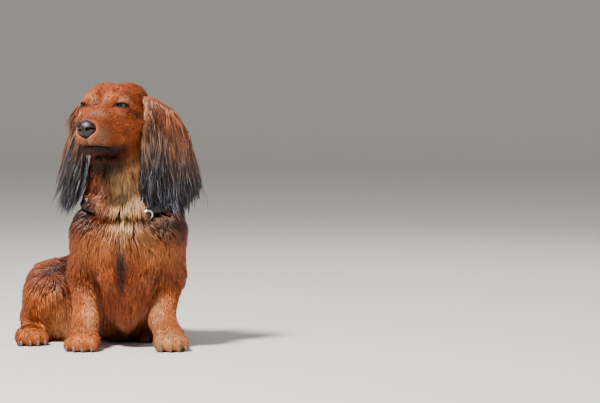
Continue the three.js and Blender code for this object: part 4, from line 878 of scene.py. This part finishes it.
def tuft_mesh(name, path, normal, width, root_colour, tip_colour, place, flat=0.45):
    """A mesh of all tufts. path is tufts by (rings + 1) by 3, and its last place is the tip."""
    count, rings = len(path), path.shape[1] - 1
    along = unit(np.gradient(path, axis=1))
    out = normal[:, None, :] - along * (along * normal[:, None, :]).sum(2, keepdims=True)
    out = unit(out)
    across = np.cross(along, out)
    size = (width[:, None] / 2 * np.array(SHAPES[rings]))[:, :, None]
    corners = []
    for turn in (90, 210, 330):
        a = np.radians(turn)
        lean = across[:, :-1] * np.cos(a) + out[:, :-1] * np.sin(a) * flat
        corners.append(path[:, :-1] + lean * size)
    body = np.stack(corners, 2).reshape(count, rings * 3, 3)
    points = np.concatenate([body, path[:, -1:, :]], 1).reshape(-1, 3)
    pattern = [(0, 2, 1)]
    for r in range(rings - 1):
        for c in range(3):
            a, b = r * 3 + c, r * 3 + (c + 1) % 3
            pattern += [(a, b, b + 3), (a, b + 3, a + 3)]
    tip, last = rings * 3, (rings - 1) * 3
    pattern += [(last + c, last + (c + 1) % 3, tip) for c in range(3)]
    stride = rings * 3 + 1
    faces = (np.array(pattern)[None] + (np.arange(count) * stride)[:, None, None]).reshape(-1, 3)
    obj = add_mesh(name, points, faces)
    share = np.concatenate([np.repeat(np.arange(rings) / rings, 3), [1.0]])
    mix = root_colour[:, None, :] + (tip_colour - root_colour)[:, None, :] * share[None, :, None]
    # Painted shade and light: each tuft is darker at its root, where hair lies in shade, and lighter
    # toward its tip.
    paint_mesh(obj, (mix * (0.6 + 0.55 * share)[None, :, None]).reshape(-1, 3))
    within, owner = faces.ravel() % stride, faces.ravel() // stride
    bake = obj.data.uv_layers.new(name="OFBake")
    spread = np.stack([(within % 3) / 2, share[within]], 1) * PATCH
    bake.data.foreach_set("uv", (place[owner] + spread).astype(np.float32).ravel())
    strand = obj.data.uv_layers.new(name="strand")
    strand_place = np.stack([(within % 3) / 3 + rng.random(count)[owner] * 17, share[within]], 1)
    strand.data.foreach_set("uv", strand_place.astype(np.float32).ravel())
    return obj


def unwrap(p, centre=(0, 60)):
    """Place of a point on a map of the body: angle round an upright line, and height."""
    angle = np.arctan2(p[:, 0] - centre[0], -(p[:, 1] - centre[1])) / (2 * np.pi) + 0.5
    return np.stack([0.01 + 0.97 * angle, 0.01 + 0.97 * np.clip(p[:, 2] / 440, 0, 1)], 1)


def mesh_points(obj):
    """Places and triangles of a mesh, back in the dog's own millimetres."""
    obj.data.calc_loop_triangles()
    points = np.empty(len(obj.data.vertices) * 3, np.float32)
    obj.data.vertices.foreach_get("co", points)
    triangles = np.empty(len(obj.data.loop_triangles) * 3, np.int32)
    obj.data.loop_triangles.foreach_get("vertices", triangles)
    return points.reshape(-1, 3).astype(float) / MM - SHIFT, triangles.reshape(-1, 3)


def scatter(obj, spacing, keep):
    """Random places on a mesh, about spacing apart where keep, a share, is one."""
    points, triangles = mesh_points(obj)
    a, b, c = (points[triangles[:, i]] for i in range(3))
    area = np.linalg.norm(np.cross(b - a, c - a), axis=1) / 2
    middle = (a + b + c) / 3
    wanted = area / spacing**2 * keep(middle)
    number = rng.poisson(wanted)
    owner = np.repeat(np.arange(len(area)), number)
    u, v = rng.random((2, len(owner)))
    flip = u + v > 1
    u[flip], v[flip] = 1 - u[flip], 1 - v[flip]
    return a[owner] + (b - a)[owner] * u[:, None] + (c - a)[owner] * v[:, None]


# %% [markdown]
# ## The coat of the body
# Tufts stand closest on the head, where they are short and fine. Hidden skin, such as the
# underside on the floor, gets fewer. The coat is split into pieces by height, because a piece
# with too many faces is slow to handle.

# %% Coat of the head and body
COAT = []
PER_PIECE, BODY_RINGS = 11000, 3


def coat_piece(name, roots, swells, every, strength):
    """Tufts at these places, combed by the guides, in as many pieces as they need."""
    roots = roots[np.argsort(roots[:, 2])]
    for number, p in enumerate(np.array_split(roots, max(1, int(np.ceil(len(roots) / PER_PIECE))))):
        lie, length, width, lift, droop = comb(p)
        _push, above, bare = over_collar(p)
        over = (bare > 0.3) & (above > 8) & (above < 60)
        length = np.where(over, np.minimum(length, np.maximum(above - 9, 4)), length)
        length = length * np.exp(rng.normal(0, 0.14, len(p)))
        path, normal = grow_paths(p, lie, length, lift, droop, BODY_RINGS, swells)
        path = clump(path, every, strength)
        root_colour = paint_body(path[:, 1])
        tip_colour = paint_body(path[:, -1])
        light = np.exp(rng.normal(0, 0.21, (len(p), 1))) * np.exp(rng.normal(0, 0.05, (len(p), 3)))
        width = width * np.exp(rng.normal(0, 0.1, len(p)))
        COAT.append(tuft_mesh(f"{name}_{number}", path, normal, width, root_colour * light,
                              tip_colour * light, unwrap(p)))


def off_eyes_and_nose(p):
    """No hair on the eyes, the nose and inside the mouth."""
    f, l, u = head.local(p).T
    keep = np.ones(len(p))
    for s in SIDES.values():
        q = p - EyeFrame(s).centre
        keep[np.linalg.norm(q, axis=1) < EYE["ball"] + EYE["gap"] + 1.4] = 0
        across, up, z = q @ EyeFrame(s).across, q @ EyeFrame(s).up, q @ EyeFrame(s).out
        keep[(np.abs(across) < 12) & (np.abs(up + 0.6) < 5) & (z > 4)] = 0
    pad = np.sqrt(((f - NOSE["ahead"]) / 14) ** 2 + (l / 18) ** 2 + ((u - NOSE["up"]) / 16) ** 2)
    keep[pad < 1] = 0
    keep[(np.abs(u - mouth_height(f)) < 2.2) & (f > MOUTH_CORNER)] = 0
    keep[(p - THROAT_POINT) @ THROAT_UP < -4] = 0
    return keep


def body_density(p):
    """Few tufts on the floor side, none under the collar, and more just above it."""
    keep = np.where(p[:, 2] < 3, 0.05, 1.0)
    keep[(p - THROAT_POINT) @ THROAT_UP > 0] = 0
    _push, above, _bare = over_collar(p)
    keep[(above > BAND_LOW) & (above < BAND_TOP)] = 0
    return keep * np.where((above >= BAND_TOP) & (above < THICK_TO), 1.5, 1.0)


HEAD_SPACING, BODY_SPACING = 1.55, 2.24
WIDER = 1.0
head_roots = scatter(skin_head, HEAD_SPACING * WIDER, off_eyes_and_nose)
body_roots = scatter(skin_body, BODY_SPACING * WIDER, body_density)
coat_piece("coat_head", head_roots, HEAD + NECK, 14, 0.15)
coat_piece("coat_body", body_roots, BODY, 26, 0.45)
print("tufts on the head", len(head_roots), "and the body", len(body_roots))

# %% [markdown]
# ## The hair of the ears
# Ear hair is the longest on the dog. It starts on both faces and both edges of the leather,
# hangs down over the cheek and the shoulder, and ends in loose wisps.


# %% Coat of the ears
EAR_LENGTHS = (46, 48, 48, 46, 40)
EAR_RINGS, EAR_CLEAR = 4, 2.2
EAR_TUFTS = 7000


def ear_coat(side, s, count, rings=EAR_RINGS):
    """Long wavy tufts that hang from an ear, in front of the leather and behind it."""
    across, out = ear_axes(s)
    down = rng.random(count) ** 0.85
    place = np.clip(rng.uniform(-1.04, 1.04, count), -1, 1)
    face = np.where(rng.random(count) < 0.72, 1.0, -1.0)
    roots = ear_points(s, down, place, face * 1.8)
    flare = 0.2 + 0.34 * down if s < 0 else 0.05 + 0.05 * down
    lie = DOWN + across * (place * (0.06 + 0.16 * down))[:, None]
    lie = lie + out * (flare + 0.05 * face)[:, None] + rng.normal(0, 0.05, (count, 3))
    length = sampled(EAR_LENGTHS, down) * np.exp(rng.normal(0, 0.26, count))
    length[rng.random(count) < 0.04] *= 1.4
    stray = (rng.random(count) < 0.25) & (down < 0.12)
    lie[stray] += out * 0.55 + across * 0.35
    way = unit(lie)
    step = (length / rings)[:, None]
    p = roots.copy()
    path = [roots - out * face[:, None]]
    curl = 0.2 * np.exp(rng.normal(0, 0.4, (count, 1)))
    phase = (place * 6 + down * 9 + rng.normal(0, 0.5, count))[:, None]
    for i in range(1, rings + 1):
        way = unit(way + DOWN * 0.12 + across * curl * np.sin(phase + i * 1.5))
        p = p + way * step
        low_share = np.clip(down + i * length / rings / EAR["length"], 0, 1)
        ahead = ((p - ear_points(s, low_share, place, 0)) @ out) * face
        push = np.where((low_share < 1) & (ahead < EAR_CLEAR), EAR_CLEAR - ahead, 0) * face
        p = p + out * push[:, None]
        away = field_of(BODY, p, 0.3)
        low = away < 2
        if low.any():
            p[low] += slope_of(BODY, p[low], 0.3) * (2 - away[low])[:, None]
        path.append(p.copy())
    path = clump(np.stack(path, 1), 20, 0.6)
    light = np.exp(rng.normal(0, 0.2, (count, 1)))
    end = down + length / EAR["length"]
    root_colour, tip_colour = paint_ear(down + 0.06, place), paint_ear(end, place)
    kind = rng.random(count)
    # Painted highlights: about a third of the tufts turn blue-grey toward their tips low on the ear, as
    # shine on the black hair.
    shine = (kind < 0.34) * rng.uniform(0.2, 0.9, count) * np.clip((end - 0.55) / 0.3, 0, 1)
    tip_colour = toward(tip_colour, SLATE_SHEEN, shine)
    root_colour = toward(root_colour, SLATE_SHEEN, shine * np.clip((down - 0.5) / 0.2, 0, 1))
    pale = (kind > 0.8) * rng.uniform(0.2, 0.7, count) * np.clip((0.7 - down) / 0.3, 0, 1)
    root_colour = toward(root_colour, PALE_COAT_AND_HIGHLIGHT, pale)
    root_colour = toward(root_colour, UMBER_AND_SHADE, 0.6 * ((kind > 0.62) & (kind < 0.8)))
    normal = unit(out * face[:, None] + across * (place * 0.5)[:, None])
    width = rng.uniform(1.5, 2.9, count)
    return tuft_mesh(f"coat_ear_{side}", path, normal, width, root_colour * light, tip_colour * light,
                     unwrap(roots))


for side, s in SIDES.items():
    COAT.append(ear_coat(side, s, EAR_TUFTS))
print("coat pieces", len(COAT), "with", sum(len(o.data.polygons) for o in COAT), "faces")

# %% [markdown]
# ## Eyes, nose and claws
# An eye is a wet dark ball, with a brown iris that only shows close up. The nose is its own
# field: a rounded pad, two comma-shaped nostrils and the groove between them. A claw is a bent
# cone.


# %% Eyes
IRIS_ANGLE, PUPIL_ANGLE = 0.56, 0.24
EYE_WHITE, IRIS, PUPIL = paint(46, 32, 26), paint(38, 20, 10), paint(6, 5, 5)


def sphere_mesh(name, centre, radius, out, segments=48, rows=32):
    """A ball whose pole points along out, so that the iris can be painted round the pole."""
    up = unit(np.cross(out, vec(0.3, 0.2, 1)))
    side = np.cross(out, up)
    tilt = np.linspace(0, np.pi, rows)[1:-1, None]
    turn = np.linspace(0, 2 * np.pi, segments, endpoint=False)[None, :]
    ring = (np.cos(tilt)[..., None] * out + (np.sin(tilt) * np.cos(turn))[..., None] * up
            + (np.sin(tilt) * np.sin(turn))[..., None] * side)
    points = np.concatenate([ring.reshape(-1, 3), [out], [-out]]) * radius + centre
    r, c = np.meshgrid(np.arange(rows - 3), np.arange(segments), indexing="ij")
    a, b = r * segments + c, r * segments + (c + 1) % segments
    quads = np.stack([a, a + segments, b + segments, b], -1).reshape(-1, 4)
    top, bottom, last = len(points) - 2, len(points) - 1, (rows - 3) * segments
    n = np.arange(segments)
    near = (n + 1) % segments
    caps = np.concatenate([
        np.stack([n, near, np.full_like(n, top)], 1),
        np.stack([last + near, last + n, np.full_like(n, bottom)], 1),
    ])
    obj = add_mixed_mesh(name, points, [tuple(q) for q in quads] + [tuple(t) for t in caps])
    facing = ((points - centre) / radius) @ out
    colour = np.where((facing > np.cos(IRIS_ANGLE))[:, None], IRIS, EYE_WHITE)
    colour = np.where((facing > np.cos(PUPIL_ANGLE))[:, None], PUPIL, colour)
    paint_mesh(obj, colour, "eye")
    return obj


eyes = {}
for side, s in SIDES.items():
    eye = EyeFrame(s)
    look = unit(eye.out + head.forward * 0.35)
    eyes[side] = sphere_mesh(f"eyeball_{side}", eye.centre, EYE["ball"] - 0.1, look)
print("eyes", [len(e.data.polygons) for e in eyes.values()])


# %% Nose
def nose_carve(p, _d):
    """The nose pad's field in the head's frame."""
    f, l, u = head.local(p).T
    f, u = f - NOSE["ahead"], u - NOSE["up"]
    narrow = 1 - 0.005 * np.maximum(-u, 0)
    pad = np.sqrt((f / 11) ** 2 + (l / 15.3 / narrow) ** 2 + (u / 13.3) ** 2)
    d = (pad - 1) * 11.5
    for s in SIDES.values():
        side = l * s
        hole = np.hypot((side - 6.6) / 3.0, (u + 0.8) / 3.1) - 1
        tail = np.hypot((side - 11.5) / 5.0, (u - 0.6 + 0.1 * (side - 11)) / 1.35) - 1
        cut = np.minimum(hole * 3, tail * 1.6)
        d = np.maximum(d, -np.maximum(cut, -(d + 6)))
    groove = np.abs(l) - 0.5
    return np.maximum(d, -np.maximum(np.maximum(groove, u + 1), -(d + 1.1)))


NOSE_CELL = 0.55
nose_centre = head.at(NOSE["ahead"], 0, NOSE["up"])
value, axes = grid_field([], nose_centre - 20, nose_centre + 20, NOSE_CELL, 0, nose_carve)
nose = add_mesh("nose_pad", *surface_from(value, axes))
print("nose faces", len(nose.data.polygons))


# %% Claws
def tubes(name, paths, radii, sides=10):
    """Round tubes along paths, all in one mesh. radii has one value per place on a path."""
    all_points, all_faces, start = [], [], 0
    for path in paths:
        path = np.array(path, float)
        rows = len(path)
        along = unit(np.gradient(path, axis=0))
        side = unit(np.cross(along, vec(0.21, 0.13, 0.97)))
        other = np.cross(along, side)
        turn = np.linspace(0, 2 * np.pi, sides, endpoint=False)
        ring = side[:, None] * np.cos(turn)[None, :, None] + other[:, None] * np.sin(turn)[None, :, None]
        points = (path[:, None] + ring * np.array(radii)[:, None, None]).reshape(-1, 3)
        for r in range(rows - 1):
            for c in range(sides):
                a, b = r * sides + c, r * sides + (c + 1) % sides
                all_faces.append(tuple(start + v for v in (a, b, b + sides, a + sides)))
        all_faces.append(tuple(start + c for c in range(sides))[::-1])
        all_faces.append(tuple(start + (rows - 1) * sides + c for c in range(sides)))
        all_points.append(points)
        start += len(points)
    return add_mixed_mesh(name, np.concatenate(all_points), all_faces)


def claw_paths(leg, size):
    """Bent paths of the four claws of a paw."""
    f = Frame(leg["paw"], leg["turn"])
    paths = []
    for toe in TOES:
        ahead = (22 - 3.6 * toe * toe) * size
        low = 1.4 - leg["paw"][2]
        knots = np.array([(-1, 13.2, -1), (5.5, 13.4, -3), (9, 13.5, -7.5), (10.5, 13.5, low)])
        share = np.linspace(0, 3, 9)
        smooth_knots = np.stack([np.interp(share, range(4), knots[:, i]) for i in range(3)], 1)
        paths.append([f.at(ahead + a, toe * b * size, c) for a, b, c in smooth_knots])
    return paths


claws = tubes("claws", sum((claw_paths(FORE[n], 1.0) + claw_paths(HIND[n], 0.95) for n in SIDES), []),
             np.interp(np.linspace(0, 1, 9), [0, 0.5, 0.85, 1], [2.9, 2.6, 1.5, 0.5]))
print("claw faces", len(claws.data.polygons))

# %% [markdown]
# ## Skin colours
# The skins and the leather of the ears take the same markings as the coat, but darker, because
# what shows of them between the tufts lies in shadow.

# %% Paint the skins
for skin in (skin_head, skin_body):
    points, _triangles = mesh_points(skin)
    shade = np.interp(comb(points)[1], [9, 24], [0.85, 0.5])
    paint_mesh(skin, paint_body(points) * shade[:, None])
for side, s in SIDES.items():
    points, _triangles = mesh_points(ears[side])
    down = np.clip((ear_root(s)[2] + EAR["rise"] - points[:, 2]) / EAR["length"], 0, 1)
    paint_mesh(ears[side], paint_ear(down, np.zeros(len(points))) * 0.6)
print("painted skins and ears")

# %% [markdown]
# ## Materials
# Hair takes its colour from the attribute and a fine streak along each tuft, and shines softly.
# Skin has a fine bump of very short hair. The eye has a clear wet coat over its colours. Each
# material is made once and shared.


# %% Materials
def material(name, roughness, colour=None, **sockets):
    """A material with one Principled shader. Returns it with its node tree and the shader."""
    made = bpy.data.materials.new(name)
    made.use_nodes = True
    shader = made.node_tree.nodes["Principled BSDF"]
    shader.inputs["Roughness"].default_value = roughness
    if colour is not None:
        shader.inputs["Base Color"].default_value = (*colour, 1)
    for socket, value in sockets.items():
        shader.inputs[socket.replace("_", " ")].default_value = value
    return made, made.node_tree, shader


def node(tree, kind, **values):
    """A node with some of its inputs set by name."""
    made = tree.nodes.new(kind)
    for socket, value in values.items():
        made.inputs[socket.replace("_", " ")].default_value = value
    return made


def coat_colour(tree, shader, noise, span, shades):
    """Colour from the coat attribute, made darker and lighter where a noise is low and high."""
    attribute = tree.nodes.new("ShaderNodeAttribute")
    attribute.attribute_name = "coat"
    ramp = tree.nodes.new("ShaderNodeMapRange")
    ramp.inputs["From Min"].default_value, ramp.inputs["From Max"].default_value = span
    ramp.inputs["To Min"].default_value, ramp.inputs["To Max"].default_value = shades
    tree.links.new(noise.outputs["Fac"], ramp.inputs["Value"])
    mix = tree.nodes.new("ShaderNodeMix")
    mix.data_type, mix.blend_type = "RGBA", "MULTIPLY"
    mix.inputs[0].default_value = 1.0
    tree.links.new(attribute.outputs["Color"], mix.inputs[6])
    tree.links.new(ramp.outputs["Result"], mix.inputs[7])
    tree.links.new(mix.outputs[2], shader.inputs["Base Color"])


def noise_bump(tree, shader, scale, strength, distance, vector=None, detail=3.0):
    """A bump made by noise, in Object coordinates unless another vector is given."""
    noise = node(tree, "ShaderNodeTexNoise", Scale=scale, Detail=detail)
    if vector is None:
        vector = tree.nodes.new("ShaderNodeTexCoord").outputs["Object"]
    tree.links.new(vector, noise.inputs["Vector"])
    bump = node(tree, "ShaderNodeBump", Strength=strength, Distance=distance)
    tree.links.new(noise.outputs["Fac"], bump.inputs["Height"])
    tree.links.new(bump.outputs["Normal"], shader.inputs["Normal"])
    return noise


def hair_material(name, roughness, shine):
    """Colour from the attribute, streaks along the strand map, and a soft shine."""
    made, tree, shader = material(name, roughness, Specular_IOR_Level=shine)
    strand = tree.nodes.new("ShaderNodeUVMap")
    strand.uv_map = "strand"
    stretch = tree.nodes.new("ShaderNodeMapping")
    stretch.inputs["Scale"].default_value = (14, 1.2, 1)
    tree.links.new(strand.outputs["UV"], stretch.inputs["Vector"])
    noise = noise_bump(tree, shader, 2.2, 0.35, 0.0006, stretch.outputs["Vector"], 2.0)
    coat_colour(tree, shader, noise, (0.3, 0.7), (0.62, 1.35))
    return made


def skin_material():
    """Colour from the attribute with a fine mottle, and a bump of very short hair."""
    made, tree, shader = material("short_hair_skin", 0.6, Specular_IOR_Level=0.3)
    noise = noise_bump(tree, shader, 900, 0.5, 0.0008)
    coat_colour(tree, shader, noise, (0, 1), (0.6, 1.3))
    return made


def eye_material():
    """A dark eye under a clear wet coat."""
    made, tree, shader = material("wet_eye", 0.08, Specular_IOR_Level=0.5, Coat_Weight=1.0,
                                  Coat_Roughness=0.02)
    attribute = tree.nodes.new("ShaderNodeAttribute")
    attribute.attribute_name = "eye"
    tree.links.new(attribute.outputs["Color"], shader.inputs["Base Color"])
    return made


def nose_material():
    """Damp dark leather with fine cobbles."""
    made, tree, shader = material("damp_nose", 0.42, paint(14, 12, 13), Coat_Weight=0.15,
                                  Coat_Roughness=0.25)
    place = tree.nodes.new("ShaderNodeTexCoord")
    cobbles = node(tree, "ShaderNodeTexVoronoi", Scale=620.0)
    tree.links.new(place.outputs["Object"], cobbles.inputs["Vector"])
    bump = node(tree, "ShaderNodeBump", Strength=0.5, Distance=0.0006)
    tree.links.new(cobbles.outputs["Distance"], bump.inputs["Height"])
    tree.links.new(bump.outputs["Normal"], shader.inputs["Normal"])
    return made


LONG_HAIR = hair_material("long_hair", 0.38, 0.55)
SHORT_HAIR = hair_material("short_hair", 0.55, 0.3)
SKIN, EYE_WET, NOSE_DAMP = skin_material(), eye_material(), nose_material()
CLAW, claw_tree, claw_shader = material("claw_horn", 0.32, paint(98, 90, 86))
noise_bump(claw_tree, claw_shader, 500, 0.25, 0.0004)
LEATHER, leather_tree, leather_shader = material("collar_leather", 0.7, paint(16, 13, 12),
                                                 Specular_IOR_Level=0.3)
noise_bump(leather_tree, leather_shader, 700, 0.3, 0.0004)
STEEL, steel_tree, steel_shader = material("collar_steel", 0.22, paint(205, 205, 200), Metallic=1.0)
noise_bump(steel_tree, steel_shader, 400, 0.08, 0.0002)
print("materials", len(bpy.data.materials))

# %% [markdown]
# ## Which piece stands for which solid
# Every piece rides on the one body, because nothing on the model moves. A skin replaces the
# solids that it covers. The collar and its ring keep their solids, with better materials.

# %% Ride and replace
BOTH = ("left", "right")
BODY_NODES = ["neck", "torso", "tail"] + [
    f"{part}_{side}" for part in ("foreleg", "forepaw", "hindleg", "hindpaw") for side in BOTH
]


settled = []


def settle(obj, made, slot, *nodes):
    """Give a piece its material, its body and the solids that it stands for. The slot is not used."""
    settled.append(obj.name)
    obj.data.materials.clear()
    obj.data.materials.append(made)
    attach(obj, "root")
    if nodes:
        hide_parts(*nodes)


settle(skin_head, SKIN, "coat", "head")
settle(skin_body, SKIN, "coat", *BODY_NODES)
for side in BOTH:
    settle(ears[side], SKIN, "ears", f"ear_{side}")
    settle(eyes[side], EYE_WET, "eyes", f"eye_{side}")
settle(nose, NOSE_DAMP, "nose", "nose")
settle(claws, CLAW, "legs")
for piece in COAT:
    finish = SHORT_HAIR if "head" in piece.name else LONG_HAIR
    settle(piece, finish, "ears" if "ear" in piece.name else "coat")
for name, made in (("collar", LEATHER), ("collar_ring", STEEL)):
    for slot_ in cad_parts[name].material_slots:
        slot_.material = made
print("pieces", len(settled), "besides the collar and its ring")

# %% [markdown]
# ## Floor, light and camera
# A wide pale floor curves up far away. A key light stands at the upper left in front, with two
# weak lights and a soft surround against hard shadows. The camera is far away with a long lens,
# so that the dog looks as flat as in the picture, and it looks down by three degrees.

# %% Floor and light
FLAT, CURVE, WALL = 7.0, 3.0, 6.0
sweep = np.linspace(0, np.pi / 2, 24)
profile = np.concatenate([
    [(0.001, 0), (FLAT, 0)],
    np.stack([FLAT + CURVE * np.sin(sweep[1:]), CURVE * (1 - np.cos(sweep[1:]))], 1),
    [(FLAT + CURVE, WALL)],
])
turns = np.linspace(0, 2 * np.pi, 97)[:-1]
cove = np.stack([np.outer(profile[:, 0], np.cos(turns)), np.outer(profile[:, 0], np.sin(turns)),
                 np.repeat(profile[:, 1:], len(turns), 1)], -1)
rows, columns = np.meshgrid(np.arange(len(profile) - 1), np.arange(len(turns)), indexing="ij")
here, beside = rows * len(turns) + columns, rows * len(turns) + (columns + 1) % len(turns)
panels = np.stack([here, here + len(turns), beside + len(turns), beside], -1).reshape(-1, 4)
floor = add_mesh("studio_floor", cove.reshape(-1, 3) / MM - SHIFT, panels)
PALE_FLOOR, _tree, _shader = material("pale_floor", 0.85, paint(212, 208, 202))
floor.data.materials.append(PALE_FLOOR)

world = bpy.data.worlds.new("soft_studio")
bpy.context.scene.world = world
world.use_nodes = True
world.node_tree.nodes["Background"].inputs[0].default_value = (0.86, 0.89, 0.94, 1)
world.node_tree.nodes["Background"].inputs[1].default_value = 0.41


def area_light(name, place, target, size, power, colour=(1, 1, 1)):
    """A square soft light at a place, aimed at a target."""
    data = bpy.data.lights.new(name, "AREA")
    data.size, data.energy, data.color = size, power, colour
    light = bpy.data.objects.new(name, data)
    light.location = place
    light.rotation_euler = (Vector(target) - Vector(place)).to_track_quat("-Z", "Y").to_euler()
    bpy.context.scene.collection.objects.link(light)
    return light


area_light("key", (-1.0, -1.7, 2.9), (0, 0, 0.25), 0.5, 330, (1, 0.96, 0.9))
area_light("fill", (2.2, -1.6, 1.1), (0, 0, 0.2), 1.6, 10, (0.92, 0.96, 1))
area_light("rim", (0.9, 1.9, 1.7), (0, 0, 0.3), 1.0, 16)

# %% Camera
AIM, CAMERA_PLACE, LENS = vec(272.8, -87.75, 233.7), vec(272.8, -4581.6, 469.2), 174.2
camera_data = bpy.data.cameras.new("camera")
camera_data.sensor_width, camera_data.lens = 36, LENS
camera = bpy.data.objects.new("camera", camera_data)
bpy.context.scene.collection.objects.link(camera)
camera.location = (CAMERA_PLACE + SHIFT) * MM
camera.rotation_euler = (Vector((AIM + SHIFT) * MM) - camera.location).to_track_quat("-Z", "Y").to_euler()
bpy.context.scene.camera = camera
print("camera at", [round(c, 3) for c in camera.location])
